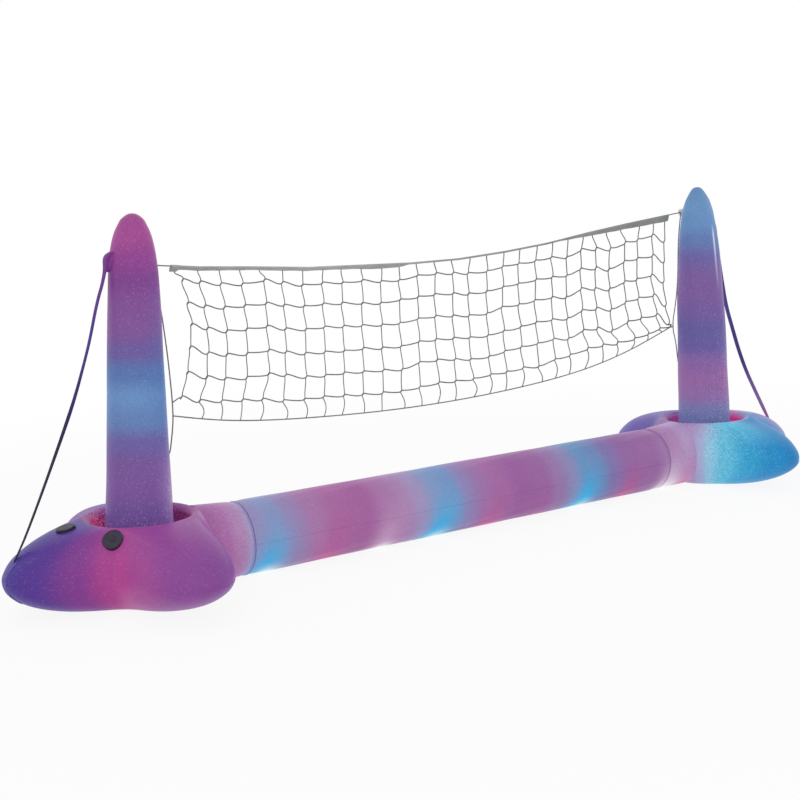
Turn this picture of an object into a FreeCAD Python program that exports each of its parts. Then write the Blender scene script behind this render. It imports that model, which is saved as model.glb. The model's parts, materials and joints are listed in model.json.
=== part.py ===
import FreeCAD, Part
import Sketcher
import math
import os

# Inflatable pool volleyball net, lit from inside: a round tube floats between two lobed feet, each
# foot carries an air post, and a net hangs between the posts. Millimetres, +Z up, the origin on the
# water or floor below the middle of the tube, +X along the tube to the right foot, +Y to the back.

Vector = FreeCAD.Vector
Placement = FreeCAD.Placement
Rotation = FreeCAD.Rotation

SIZES = {
    # vinyl film and its welds
    "film": 1.5,
    "weld_gap": 0.2,
    "patch_film": 1.4,
    # floating tube
    "tube_radius": 87.0,
    "seam_half_span": 664.0,
    "ring_width": 9.0,
    "ring_film": 0.8,
    "ring_gap": 0.5,
    # lobed feet
    "post_spacing_half": 900.0,
    "foot_height": 184.0,
    "outer_reach": 314.0,
    "side_reach": 336.0,
    "inner_reach": 150.0,
    "outer_waist": 187.0,
    "inner_waist": 165.0,
    "sole_radius": 101.0,
    "crest_radius": 121.0,
    "crown_fullness": 1.13,
    "outer_crown_fullness": 1.15,
    "sole_fullness": 1.26,
    "outer_sole_fullness": 0.95,
    "neck_overlap": 95.0,
    # well that holds the post
    "well_radius": 127.0,
    "well_lip_radius": 19.0,
    "well_floor_radius": 94.0,
    "well_floor_height": 112.0,
    # air posts
    "left_post_top": 842.0,
    "right_post_top": 856.0,
    "post_lean": 2.16,
    "post_base_radius": 74.0,
    "post_neck_radius": 53.0,
    "post_tip_length": 108.0,
    "post_tip_round": 28.0,
    # guy straps
    "strap_width": 18.0,
    "strap_film": 1.2,
    "strap_top_height": 764.0,
    "strap_sag": 34.0,
    "strap_patch_height": 24.0,
    "strap_patch_width": 26.0,
    # net
    "net_back": 48.0,
    "net_cell": 55.0,
    "net_first_row": 27.0,
    "net_cord": 2.4,
    "net_left_edge": -752.0,
    "net_side_bow": 26.0,
    "rope_diameter": 3.4,
    "rope_knot": 4.4,
    "sleeve_wall": 1.2,
    "band_height": 20.0,
    "band_film": 2.2,
    "band_end_gap": 14.0,
    # eyelet tabs
    "left_tab_azimuth": 55.0,
    "right_tab_azimuth": 80.0,
    "tab_patch_radius": 16.0,
    "tab_reach": 18.0,
    "tab_height": 20.0,
    "tab_film": 2.0,
    "eyelet_reach": 10.0,
    "eyelet_radius": 3.6,
    "eyelet_rim": 6.4,
    "eyelet_wall": 0.9,
    "left_top_tab": 730.0,
    "right_top_tab": 785.0,
    "left_low_tab": 236.0,
    "right_low_tab": 290.0,
    # light pod
    "pod_azimuth": 315.0,
    "pod_slope": 42.0,
    "pod_raise": 3.8,
    "pod_flange_depth": 9.0,
    "pod_radius": 22.5,
    "pod_tub_radius": 18.5,
    "pod_mouth_radius": 16.9,
    "pod_depth": 23.0,
    "pod_cap_height": 4.6,
    "pod_button_radius": 7.0,
    "pod_button_travel": 1.2,
    "coin_radius": 10.0,
    "coin_height": 3.2,
    "board_thickness": 1.6,
    # light string
    "lead_radius": 2.0,
    "lead_clearance": 0.3,
    "module_length": 18.0,
    "module_width": 9.0,
    "module_height": 8.0,
    "module_pitch": 163.0,
    "first_module_inset": 48.0,
    "post_module_pitch": 190.0,
    "post_module_start": 150.0,
    "splice_length": 30.0,
    "splice_width": 18.0,
    "splice_height": 11.0,
    "bushing_radius": 4.4,
    "bushing_flange": 7.5,
    # main air valve
    "valve_out": 172.0,
    "valve_flange_radius": 22.0,
    "valve_throat_radius": 12.0,
    "valve_wall": 1.6,
    "valve_depth": 18.0,
    "valve_cap_height": 4.2,
    "valve_plug_radius": 10.4,
    "valve_plug_depth": 4.6,
    # post air valves
    "stem_height": 232.0,
    "stem_radius": 5.0,
    "stem_bore": 2.8,
    "stem_length": 17.0,
    "stem_head_radius": 8.0,
    "stem_head": 2.0,
    "collar_wall": 1.5,
    "collar_flange_radius": 13.0,
    "collar_depth": 9.0,
    "plug_lid": 1.8,
    "plug_pin_radius": 1.7,
    "plug_pin": 2.3,
}

OUTLINE_ARCS = 24
PROFILE_STEP = 10
NET_COLUMNS = 28
NET_ROWS = 7
TUBE_MODULES = 9
POST_MODULES = 3
COIN_CELLS = 3

# Ropes, as points chosen along their lines, in X and Z on the net's own plane
HEAD_ROPE = [(-700, 714), (-560, 704), (-410, 698), (-260, 696), (-110, 698), (40, 703), (190, 710),
             (340, 720), (490, 733), (640, 751), (780, 772)]
FOOT_ROPE = [(-784, 384), (-700, 365), (-600, 350), (-490, 340), (-370, 333), (-250, 328), (-130, 326),
             (-10, 327), (110, 331), (230, 338), (350, 348), (470, 363), (590, 387), (700, 417), (812, 455)]
LEFT_SIDE_CORD = [(-812, 690), (-800, 640), (-792, 557), (-787, 480), (-784, 386), (-792, 333), (-802, 285)]
RIGHT_SIDE_CORD = [(842, 720), (840, 600), (832, 530), (814, 456), (830, 408), (838, 345)]


class Size:
    """A length of the model, both as a number and as the expression that the document binds."""

    def __init__(self, value, text=None):
        self.value = float(value)
        self.text = text or repr(float(value))

    def join(self, other, sign, value):
        return Size(value, f"({self.text} {sign} {other.text})")

    def __add__(self, other):
        other = as_size(other)
        return self.join(other, "+", self.value + other.value)

    def __sub__(self, other):
        other = as_size(other)
        return self.join(other, "-", self.value - other.value)

    def __mul__(self, other):
        other = as_size(other)
        return self.join(other, "*", self.value * other.value)

    def __truediv__(self, other):
        other = as_size(other)
        return self.join(other, "/", self.value / other.value)

    def __radd__(self, other):
        return as_size(other) + self

    def __rsub__(self, other):
        return as_size(other) - self

    def __rmul__(self, other):
        return as_size(other) * self

    def __neg__(self):
        return 0 - self

    def __float__(self):
        return self.value


def as_size(value):
    return value if isinstance(value, Size) else Size(value)


class Sheet:
    """The document's sheet of driving sizes; sheet.film is a Size."""

    def __init__(self, document):
        self.page = document.addObject("Spreadsheet::Sheet", "Sizes")
        for row, (alias, value) in enumerate(SIZES.items(), 1):
            self.page.set(f"A{row}", alias)
            self.page.set(f"B{row}", str(value))
            self.page.setAlias(f"B{row}", alias)
        document.recompute()

    def __getattr__(self, alias):
        return Size(SIZES[alias], f"Sizes.{alias}")


doc = FreeCAD.newDocument("net")
s = Sheet(doc)
finished = []


def bind(item, prop, size):
    """Tie one property of a document object to the sheet."""
    item.setExpression(prop, as_size(size).text)


def primitive(kind, name, place=None, **sizes):
    item = doc.addObject(f"Part::{kind}", name)
    for prop, size in sizes.items():
        bind(item, prop, size)
    if place:
        item.Placement = place
    return item


def cut(name, base, *tools):
    """base without the tools."""
    for number, tool in enumerate(tools, 1):
        step = doc.addObject("Part::Cut", name if number == len(tools) else f"{name}_cut_{number}")
        step.Base, step.Tool = base, tool
        base = step
    return base


def common(name, base, tool):
    item = doc.addObject("Part::Common", name)
    item.Base, item.Tool = base, tool
    return item


def fuse(name, *shapes):
    item = doc.addObject("Part::MultiFuse", name)
    item.Shapes = list(shapes)
    return item


def shaped(name, shape):
    item = doc.addObject("Part::Feature", name)
    item.Shape = shape
    return item


def finish(item, label):
    item.Label = label
    finished.append(item)
    return item


def move(x=0, y=0, z=0, axis=(0, 0, 1), angle=0):
    return Placement(Vector(float(x), float(y), float(z)), Rotation(Vector(*axis), float(angle)))


def facing(origin, direction):
    """The placement that puts a piece's own Z along direction, at origin."""
    return Placement(Vector(*origin), Rotation(Vector(0, 0, 1), Vector(*direction)))


def turned(name, outline, place=None, arcs=None):
    """A body turned round its own Z axis from a sketched half section.

    outline lists the corners as (radius, height); arcs gives the radius of the bulging arc that
    replaces the straight side after a corner, by the corner's number.
    """
    arcs = arcs or {}
    outline = [(as_size(r), as_size(z)) for r, z in outline]
    body = doc.addObject("PartDesign::Body", name)
    sketch = body.newObject("Sketcher::SketchObject", f"{name}_section")
    plane = next(f for f in body.Origin.OriginFeatures if f.Role == "XZ_Plane")
    sketch.AttachmentSupport = [(plane, "")]
    sketch.MapMode = "FlatFace"
    corners = [Vector(float(r), float(z), 0) for r, z in outline]
    count = len(corners)
    for number, start in enumerate(corners):
        end = corners[(number + 1) % count]
        if number in arcs:
            sketch.addGeometry(bulging_arc(start, end, float(arcs[number])), False)
        else:
            sketch.addGeometry(Part.LineSegment(start, end), False)
    for number in range(count):
        sketch.addConstraint(Sketcher.Constraint("Coincident", number, 2, (number + 1) % count, 1))
    for number, (r, z) in enumerate(outline):
        for kind, size in (("DistanceX", r), ("DistanceY", z)):
            made = sketch.addConstraint(Sketcher.Constraint(kind, -1, 1, number, 1, float(size)))
            sketch.setExpression(f"Constraints[{made}]", size.text)
    for number, radius in arcs.items():
        made = sketch.addConstraint(Sketcher.Constraint("Radius", number, float(radius)))
        sketch.setExpression(f"Constraints[{made}]", as_size(radius).text)
    turn = body.newObject("PartDesign::Revolution", f"{name}_turn")
    turn.Profile = sketch
    turn.ReferenceAxis = (sketch, ["V_Axis"])
    turn.Angle = 360
    if place:
        body.Placement = place
    return body


def bulging_arc(start, end, radius):
    """The arc that runs counter-clockwise from start to end, so that it bulges away from the axis."""
    half = (end - start) * 0.5
    reach = math.sqrt(max(radius ** 2 - half.Length ** 2, 0))
    left = Vector(-half.y, half.x, 0).normalize()
    centre = start + half + left * reach
    circle = Part.Circle(centre, Vector(0, 0, 1), radius)
    return Part.ArcOfCircle(circle, angle_at(start - centre), angle_at(end - centre))


def angle_at(arm):
    return math.atan2(arm.y, arm.x)


# Lobed foot


def foot_reach(azimuth):
    """Plan radius at the mid seam: three lobes and the neck side, joined by waists."""
    turns = round(azimuth / 90) % 4
    reach = (s.outer_reach, s.side_reach, s.inner_reach, s.side_reach)[turns].value
    mean = (s.outer_waist.value + s.inner_waist.value) / 2
    swing = (s.outer_waist.value - s.inner_waist.value) / math.sqrt(2)
    waist = mean + swing * math.cos(math.radians(azimuth))
    return waist + (reach - waist) * math.cos(math.radians(2 * azimuth)) ** 2


def foot_point(azimuth, rise, inset=0.0):
    """A point of the foot's skin, from its post's axis; rise is 0 at the crest and 180 at the sole."""
    outwards = max(0.0, math.cos(math.radians(azimuth))) ** 2
    side = abs(math.sin(math.radians(rise)))
    up = abs(math.cos(math.radians(rise)))
    reach = foot_reach(azimuth) - inset
    middle = s.tube_radius.value
    if rise <= 90:
        full = s.crown_fullness.value + (s.outer_crown_fullness - s.crown_fullness).value * outwards
        inner, height = s.crest_radius.value, s.foot_height.value - inset - middle
    else:
        full = s.sole_fullness.value + (s.outer_sole_fullness - s.sole_fullness).value * outwards
        inner, height = s.sole_radius.value, inset - middle
    radius = inner + (reach - inner) * side ** full
    turn = math.radians(azimuth)
    return Vector(radius * math.cos(turn), radius * math.sin(turn), middle + height * up ** full)


def foot_ring(rise, inset):
    """One closed outline round the foot, as arcs through points of its formula."""
    step = 360 / OUTLINE_ARCS
    edges = []
    for number in range(OUTLINE_ARCS):
        points = [foot_point((number + part) * step, rise, inset) for part in (0, 0.5, 1)]
        edges.append(Part.Arc(*points).toShape())
    return Part.Wire(edges)


def neck_circle(x, radius):
    return Part.Wire(Part.Circle(Vector(x, 0, radius), Vector(1, 0, 0), radius).toShape())


def foot_neck(inset, overrun):
    """The flared neck towards the tube, resting on the floor all along."""
    near = s.tube_radius.value - inset
    far = s.foot_height.value / 2 - inset
    start = -(s.post_spacing_half - s.seam_half_span).value - overrun
    neck = Part.makeLoft([neck_circle(start, near), neck_circle(-s.neck_overlap.value, far)], True, True)
    neck.translate(Vector(0, 0, inset))
    return neck


def well_space(inset):
    """The air above the well: what the post stands in."""
    top = s.foot_height.value + 2 * s.film.value
    floor = s.well_floor_height.value - inset
    lip = s.well_lip_radius.value - inset
    centre = Vector(s.well_radius.value, 0, s.foot_height.value - s.well_lip_radius.value)
    edge = centre + Vector(0, 0, lip)
    inner = centre + Vector(-lip, 0, 0)
    middle = centre + Vector(-lip, 0, lip) * math.sqrt(0.5)
    foot = Vector(s.well_floor_radius.value + inset, 0, floor)
    corners = [inner, foot, Vector(0, 0, floor), Vector(0, 0, top), Vector(edge.x, 0, top), edge]
    edges = [Part.makeLine(a, b) for a, b in zip(corners[:-1], corners[1:])]
    edges.append(Part.Arc(edge, middle, inner).toShape())
    face = Part.Face(Part.Wire(edges))
    return face.revolve(Vector(0, 0, 0), Vector(0, 0, 1), 360)


def foot_block(inset, overrun=0.0):
    """The whole foot as one solid, its skin drawn in by inset."""
    rises = [180 - step for step in range(0, 181, PROFILE_STEP)]
    body = Part.makeLoft([foot_ring(rise, inset) for rise in rises], True, False)
    return body.fuse(foot_neck(inset, overrun)).cut(well_space(inset))


def spot_on_foot(azimuth, slope=None, out=None):
    """A point on the crown and its outward normal: where the skin has that slope, or that far out."""
    best = None
    for step in range(4, 360):
        rise = step / 4
        here = foot_point(azimuth, rise)
        along = foot_point(azimuth, rise + 0.1) - foot_point(azimuth, rise - 0.1)
        across = foot_point(azimuth + 0.1, rise) - foot_point(azimuth - 0.1, rise)
        normal = along.cross(across).normalize()
        if slope is not None:
            miss = abs(math.degrees(math.asin(normal.z)) - slope)
        else:
            miss = abs(math.hypot(here.x, here.y) - out)
        if best is None or miss < best[0]:
            best = (miss, here, normal)
    return best[1], best[2]


def to_side(side, point):
    """From a foot's own frame, whose X points outwards, to the model's frame."""
    return Vector(side * (point.x + s.post_spacing_half.value), point.y, point.z)


def turn_to_side(side, direction):
    return Vector(side * direction.x, direction.y, direction.z)


pod_spot, pod_normal = spot_on_foot(float(s.pod_azimuth), slope=float(s.pod_slope))
valve_spot, valve_normal = spot_on_foot(0.0, out=float(s.valve_out))
pod_spot = pod_spot + pod_normal * s.pod_raise.value
POD = facing(to_side(-1, pod_spot), turn_to_side(-1, pod_normal))
VALVE = facing(to_side(-1, valve_spot), turn_to_side(-1, valve_normal))

foot_outer = foot_block(0.0)
foot_inner = foot_block(s.film.value, overrun=s.film.value)
foot_skin = foot_outer.cut(foot_inner)
left_ground = foot_block(-s.weld_gap.value).mirror(Vector(0, 0, 0), Vector(1, 0, 0))
left_ground.translate(Vector(-s.post_spacing_half.value, 0, 0))


def slab(low, high, reach=2000):
    """Everything between two heights."""
    box = Part.makeBox(2 * reach, 2 * reach, high - low)
    box.translate(Vector(-reach, -reach, low))
    return box


def mirrored_foot(shape, side):
    """A shape from the foot's own frame, placed at one end of the tube."""
    placed = shape.copy()
    if side < 0:
        placed = placed.mirror(Vector(0, 0, 0), Vector(1, 0, 0))
    placed.translate(Vector(side * s.post_spacing_half.value, 0, 0))
    return placed


def bore(place, radius, low, high):
    """A round hole along a placement's own Z."""
    tool = Part.makeCylinder(radius, high - low, Vector(0, 0, low), Vector(0, 0, 1))
    tool.Placement = place.multiply(tool.Placement)
    return tool


def seated_flange(name, place, outer, inner, low, high):
    """A ring whose underside follows the left foot's skin."""
    disc = primitive("Cylinder", f"{name}_disc", place.multiply(move(0, 0, low)), Radius=outer, Height=high - low)
    way = primitive("Cylinder", f"{name}_way", place.multiply(move(0, 0, 2 * low)), Radius=inner,
                    Height=4 * (high - low))
    bounds = Part.makeCylinder(2 * outer.value, 60, Vector(0, 0, -30), Vector(0, 0, 1))
    bounds.Placement = place.multiply(bounds.Placement)
    ground = shaped(f"{name}_ground", left_ground.common(bounds))
    return cut(f"{name}_seated", disc, way, ground)


def make_foot(word, side):
    middle = s.tube_radius.value
    height = s.foot_height.value
    well = Part.makeCylinder(s.well_radius.value, height, Vector(0, 0, middle + 2 * s.film.value))
    upper = foot_skin.common(slab(middle, 2 * height))
    crown = mirrored_foot(upper.cut(well), side)
    if side < 0:
        crown = crown.cut(bore(POD, (s.pod_tub_radius + s.lead_clearance).value, -15, 15))
        throat = (s.valve_throat_radius + s.valve_wall + s.lead_clearance).value
        crown = crown.cut(bore(VALVE, throat, -15, 15))
    base = mirrored_foot(foot_skin.common(slab(-1, middle)), side)
    lining = mirrored_foot(upper.common(well), side)
    x = side * s.post_spacing_half.value
    passage = Part.makeCylinder((s.bushing_radius + s.lead_clearance).value, height, Vector(x, 0, 0))
    finish(shaped(f"{word}_foot_crown", crown), f"{word}_foot_top_panel")
    finish(shaped(f"{word}_foot_base", base), f"{word}_foot_base_panel")
    finish(shaped(f"{word}_foot_well", lining.cut(passage)), f"{word}_foot_well_panel")


# Floating tube


def make_tube():
    length = 2 * s.seam_half_span
    start = move(-s.seam_half_span, 0, s.tube_radius, (0, 1, 0), 90)
    outer = primitive("Cylinder", "tube_outside", start, Radius=s.tube_radius, Height=length)
    inner = primitive("Cylinder", "tube_inside", start, Radius=s.tube_radius - s.film, Height=length)
    skin = cut("tube_skin", outer, inner)
    size = dict(Length=length, Width=2 * s.tube_radius, Height=s.tube_radius)
    corner = -s.seam_half_span, -s.tube_radius
    upper = primitive("Box", "upper_half", move(*corner, s.tube_radius), **size)
    lower = primitive("Box", "lower_half", move(*corner, 0), **size)
    finish(common("tube_top", skin, upper), "centre_tube_top_panel")
    finish(common("tube_base", skin, lower), "centre_tube_base_panel")


def make_weld_ring(word, side):
    start = move(side * s.seam_half_span - s.ring_width / 2, 0, s.tube_radius, (0, 1, 0), 90)
    outer = primitive("Cylinder", f"{word}_ring_outside", start,
                      Radius=s.tube_radius + s.ring_gap + s.ring_film, Height=s.ring_width)
    inner = primitive("Cylinder", f"{word}_ring_inside", start,
                      Radius=s.tube_radius + s.ring_gap, Height=s.ring_width)
    band = cut(f"{word}_ring", outer, inner)
    above = primitive("Box", f"{word}_ring_above", move(side * s.seam_half_span - s.ring_width,
                      -2 * s.tube_radius, s.ring_film * 2), Length=2 * s.ring_width,
                      Width=4 * s.tube_radius, Height=3 * s.tube_radius)
    finish(common(f"{word}_ring_band", band, above), f"{word}_weld_ring")


# Air posts


def post_place(side):
    """The post's own frame: on the well floor, its Z along the leaning post."""
    return move(side * s.post_spacing_half, 0, s.well_floor_height, (0, 1, 0), -side * s.post_lean)


def post_shaft_length(side):
    lean = math.cos(math.radians(s.post_lean.value))
    top = s.left_post_top if side < 0 else s.right_post_top
    return (top - s.well_floor_height) / lean - s.post_tip_length


def tip_arc(outset):
    """Radius of the arc from the top of the post's straight part to its rounded tip."""
    neck, nose = s.post_neck_radius + outset, s.post_tip_round + outset
    rise = s.post_tip_length - s.post_tip_round
    return (neck * neck + rise * rise - nose * nose) / (2 * (neck - nose))


def post_radius(side, along):
    """The post's radius, that far along it, up to its rounded tip."""
    base, neck, shaft = s.post_base_radius.value, s.post_neck_radius.value, post_shaft_length(side).value
    if along <= shaft:
        return base + (neck - base) * along / shaft
    arc = tip_arc(0).value
    return neck - arc + math.sqrt(arc ** 2 - (along - shaft) ** 2)


def post_spot(side, height, azimuth, out=0.0):
    """A point beside the post, at a height above the floor; azimuth turns from the net to the back."""
    along = (height - s.well_floor_height.value) / math.cos(math.radians(s.post_lean.value))
    turn = math.radians(azimuth)
    radius = post_radius(side, along) + out
    local = Vector(-side * radius * math.cos(turn), radius * math.sin(turn), along)
    return post_place(side).multVec(local)


def post_solid(name, side, outset):
    """The post as one turned solid, a little longer at its foot than the post is."""
    shaft = post_shaft_length(side)
    below = 10
    neck = s.post_neck_radius + outset
    taper = (s.post_base_radius - s.post_neck_radius) / shaft
    base = s.post_base_radius + outset + taper * below
    nose, arc = s.post_tip_round + outset, tip_arc(outset)
    share = arc / (arc - nose)
    meet = (neck - arc) * (1 - share), shaft + (s.post_tip_length - s.post_tip_round) * share
    top = shaft + s.post_tip_length + outset
    outline = [(0, -below), (base, -below), (neck, shaft), meet, (0, top)]
    return turned(name, outline, post_place(side), arcs={2: arc, 3: nose})


def make_post(word, side):
    outer = post_solid(f"{word}_post_outside", side, Size(0))
    inner = post_solid(f"{word}_post_inside", side, -s.film)
    x, reach = side * s.post_spacing_half, 2 * s.post_base_radius
    foot = s.well_floor_height + s.weld_gap
    deep = 4 * s.well_radius
    size = dict(Length=2 * reach, Width=2 * reach)
    below = primitive("Box", f"{word}_post_below", move(x - reach, -reach, foot - deep), Height=deep, **size)
    layer = primitive("Box", f"{word}_post_floor", move(x - reach, -reach, foot), Height=s.film, **size)
    passage = primitive("Cylinder", f"{word}_post_passage", move(x, 0, s.tube_radius),
                        Radius=s.bushing_radius + s.lead_clearance, Height=s.tube_radius)
    hole = primitive("Cylinder", f"{word}_stem_hole", stem_place(side, -2 * s.stem_length),
                     Radius=s.stem_radius + s.collar_wall + 2 * s.lead_clearance, Height=4 * s.stem_length)
    finish(cut(f"{word}_post", outer, inner, below, hole), f"{word}_post_skin")
    slug = common(f"{word}_base_slug", post_air(word, side), layer)
    finish(cut(f"{word}_base", slug, passage), f"{word}_post_base_disc")


def post_air(word, side):
    """The air in the post, a weld gap inside its film."""
    return post_solid(f"{word}_post_air", side, -(s.film + s.weld_gap))


# Bushing, splice block and light string


def make_bushing(word, side):
    """The sealed passage through the well floor and the post's base disc."""
    bottom = s.well_floor_height - s.film - s.weld_gap
    top = s.well_floor_height + s.weld_gap + s.film
    length = top - bottom
    lead = s.lead_radius + s.lead_clearance
    outline = [(lead, -s.film), (s.bushing_flange, -s.film), (s.bushing_flange, 0), (s.bushing_radius, 0),
               (s.bushing_radius, length + s.weld_gap), (s.bushing_flange, length + s.weld_gap),
               (s.bushing_flange, length + s.film), (lead, length + s.film)]
    bush = turned(f"{word}_bushing", outline, move(side * s.post_spacing_half, 0, bottom))
    finish(bush, f"{word}_post_bushing")


def lead_height():
    """Height of the light lead's middle above the floor, lying on the base film."""
    return s.film + s.weld_gap + s.lead_radius


def make_splice(word, side):
    x = side * s.post_spacing_half
    corner = move(x - s.splice_length / 2, -s.splice_width / 2, s.film + s.weld_gap)
    block = primitive("Box", f"{word}_splice_box", corner, Length=s.splice_length,
                      Width=s.splice_width, Height=s.splice_height)
    finish(block, f"{word}_splice_block")


def light_module(name, place):
    """A clear block round the lead, with its lamp inside; the lead runs along the block's own X."""
    corner = place.multiply(move(-s.module_length / 2, -s.module_width / 2, -s.lead_radius))
    box = primitive("Box", f"{name}_box", corner, Length=s.module_length, Width=s.module_width,
                    Height=s.module_height)
    start = place.multiply(move(-s.module_length, 0, 0, (0, 1, 0), 90))
    way = primitive("Cylinder", f"{name}_way", start, Radius=s.lead_radius + s.lead_clearance,
                    Height=2 * s.module_length)
    return cut(name, box, way)


def make_light_string():
    gap = (s.post_spacing_half - s.splice_length / 2)
    start = move(-gap, 0, lead_height(), (0, 1, 0), 90)
    lead = primitive("Cylinder", "tube_lead", start, Radius=s.lead_radius, Height=2 * gap)
    finish(lead, "tube_light_cable")
    first = -s.seam_half_span + s.first_module_inset
    modules = [light_module(f"tube_module_{n}", move(first + n * s.module_pitch, 0, lead_height()))
               for n in range(TUBE_MODULES)]
    group = doc.addObject("Part::Compound", "tube_modules")
    group.Links = modules
    finish(group, "tube_light_modules")


def make_post_lights(word, side):
    """A lead up the middle of the post, with its modules."""
    bottom = s.film + s.weld_gap + s.splice_height
    last = s.post_module_start + (POST_MODULES - 1) * s.post_module_pitch + s.module_length
    top = s.well_floor_height + last
    x = side * s.post_spacing_half
    lead = primitive("Cylinder", f"{word}_riser", move(x, 0, bottom), Radius=s.lead_radius,
                     Height=top - bottom)
    finish(lead, f"{word}_post_light_cable")
    modules = []
    for number in range(POST_MODULES):
        height = s.well_floor_height + s.post_module_start + number * s.post_module_pitch
        place = move(x, 0, height, (0, 1, 0), -90)
        modules.append(light_module(f"{word}_post_module_{number}", place))
    group = doc.addObject("Part::Compound", f"{word}_post_modules")
    group.Links = modules
    finish(group, f"{word}_post_light_modules")


# Guy straps


def route(points):
    """Straight runs joined by tangent arcs as large as the runs allow."""
    points = [Vector(*p) for p in points]
    edges, start, radii = [], points[0], []
    for before, corner, after in zip(points, points[1:], points[2:]):
        into, out = corner - before, after - corner
        half = into.getAngle(out) / 2
        trim = 0.45 * min(into.Length, out.Length)
        radii.append(trim / math.tan(half))
        into_unit, out_unit = into.normalize(), out.normalize()
        first = corner - into_unit * trim
        last = corner + out_unit * trim
        bisector = (out_unit - into_unit).normalize()
        centre = corner + bisector * (radii[-1] / math.cos(half))
        middle = centre - bisector * radii[-1]
        edges.append(Part.LineSegment(start, first).toShape())
        edges.append(Part.Arc(first, middle, last).toShape())
        start = last
    edges.append(Part.LineSegment(start, points[-1]).toShape())
    return Part.Wire(edges), radii


def sweep(wire, section):
    """A section carried along a wire."""
    return wire.makePipeShell([section], True, False)


def box_section(wire, width, thickness, back):
    """An upright rectangle square to the wire's start, width along Y."""
    edge = wire.Edges[0]
    start = edge.Vertexes[0].Point
    ahead = (edge.Vertexes[1].Point - start).normalize()
    side = Vector(0, 1, 0)
    up = ahead.cross(side).normalize()
    corners = [start + side * (width / 2) * a + up * (back + thickness * b)
               for a, b in ((-1, 0), (1, 0), (1, 1), (-1, 1))]
    return Part.makePolygon(corners + corners[:1])


def strap_points(side):
    """The strap's line in the XZ plane, from the post's outer side to the tip of the outer lobe."""
    seat = s.patch_film.value + 2 * s.weld_gap.value + s.strap_film.value / 2
    top = post_spot(side, s.strap_top_height.value, 180, seat)
    landing = foot_point(0, 52)
    end = foot_point(0, 60)
    away = s.patch_film.value + s.strap_film.value / 2
    low = to_side(side, landing) + Vector(side * away, 0, away)
    last = to_side(side, end) + Vector(side * away, 0, away * 0.6)
    points = [top + Vector(0, 0, 12), top + Vector(side * 1.0, 0, -4)]
    for number in range(1, 7):
        share = number / 7
        sag = 4 * s.strap_sag.value * share * (1 - share)
        point = points[0] + (low - points[0]) * share
        points.append(point - Vector(side * sag, 0, sag * 0.3))
    return points + [low, last]


def make_strap(word, side):
    wire, radii = route(strap_points(side))
    print(f"{word} strap arcs from {min(radii):.0f} mm")
    section = box_section(wire, s.strap_width.value, s.strap_film.value, -s.strap_film.value / 2)
    finish(shaped(f"{word}_strap", sweep(wire, section)), f"{word}_guy_strap")


def post_wrap(name, side, tool):
    """A patch of film welded on the post's skin, cut to the outline of the tool."""
    outer = post_solid(f"{name}_outside", side, s.weld_gap + s.patch_film)
    inner = post_solid(f"{name}_inside", side, s.weld_gap)
    return common(name, cut(f"{name}_film", outer, inner), tool)


def make_strap_patches(word, side):
    height = s.strap_patch_height
    spot = post_spot(side, s.strap_top_height.value, 180)
    far = 40
    corner = move(spot.x - side * far / 4 - (far if side < 0 else 0), -s.strap_patch_width / 2,
                  s.strap_top_height - height / 2)
    tool = primitive("Box", f"{word}_patch_tool", corner, Length=far, Width=s.strap_patch_width, Height=height)
    finish(post_wrap(f"{word}_top_patch", side, tool), f"{word}_strap_top_patch")
    gap, thick = s.weld_gap.value, s.patch_film.value
    film = foot_block(-gap - thick).cut(foot_block(-gap))
    first, last = foot_point(0, 48), foot_point(0, 122)
    width = s.strap_patch_width.value
    tool = Part.makeBox(200, width, first.z - last.z, Vector(first.x - 30, -width / 2, last.z))
    finish(shaped(f"{word}_foot_patch", mirrored_foot(film.common(tool), side)), f"{word}_strap_foot_patch")


# Net


def net_plane(points):
    """Points given as X and Z, on the net's plane."""
    return [(x, s.net_back.value, z) for x, z in points]


def tab_spots(side):
    """Azimuth of a post's two tabs, and their heights, the upper one first."""
    if side < 0:
        return s.left_tab_azimuth, (s.left_top_tab, s.left_low_tab)
    return s.right_tab_azimuth, (s.right_top_tab, s.right_low_tab)


def eyelet(side, number):
    """The middle of an eyelet: beside the post, on its upper (0) or lower (1) tab."""
    azimuth, heights = tab_spots(side)
    return post_spot(side, heights[number].value, azimuth.value, s.eyelet_reach.value)


def rope(label, points, knots=(True, True)):
    """A rope along its points, with a stopper knot where it ends in an eyelet."""
    wire, radii = route(points)
    radius = s.rope_diameter.value / 2
    start = wire.Edges[0].Vertexes[0].Point
    ahead = wire.Edges[0].Vertexes[1].Point - start
    section = Part.Wire(Part.Circle(start, ahead, radius).toShape())
    solid = sweep(wire, section)
    share = solid.Volume / (math.pi * radius ** 2 * wire.Length)
    print(f"{label}: {wire.Length:.0f} mm, arcs from {min(radii):.0f} mm, volume share {share:.4f}")
    for knotted, point in zip(knots, (points[0], points[-1])):
        if knotted:
            solid = solid.fuse(Part.makeSphere(s.rope_knot.value, Vector(*point)))
    finish(shaped(f"{label}_line", solid), label)
    return wire


def make_ropes():
    left_top, right_top = eyelet(-1, 0), eyelet(1, 0)
    left_low, right_low = eyelet(-1, 1), eyelet(1, 1)
    head_line = rope("head_rope", [tuple(left_top), *net_plane(HEAD_ROPE), tuple(right_top)])
    make_head_band(head_line)
    rope("foot_rope", net_plane(FOOT_ROPE), knots=(False, False))
    for label, top, points, low in (("left_side_cord", left_top, LEFT_SIDE_CORD, left_low),
                                    ("right_side_cord", right_top, RIGHT_SIDE_CORD, right_low)):
        rope(label, [tuple(top), *net_plane(points), tuple(low)])


def line_height(points, x):
    """Height of a line of points at x."""
    for (x0, z0), (x1, z1) in zip(points, points[1:]):
        if x <= x1:
            break
    return z0 + (z1 - z0) * (x - x0) / (x1 - x0)


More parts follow.
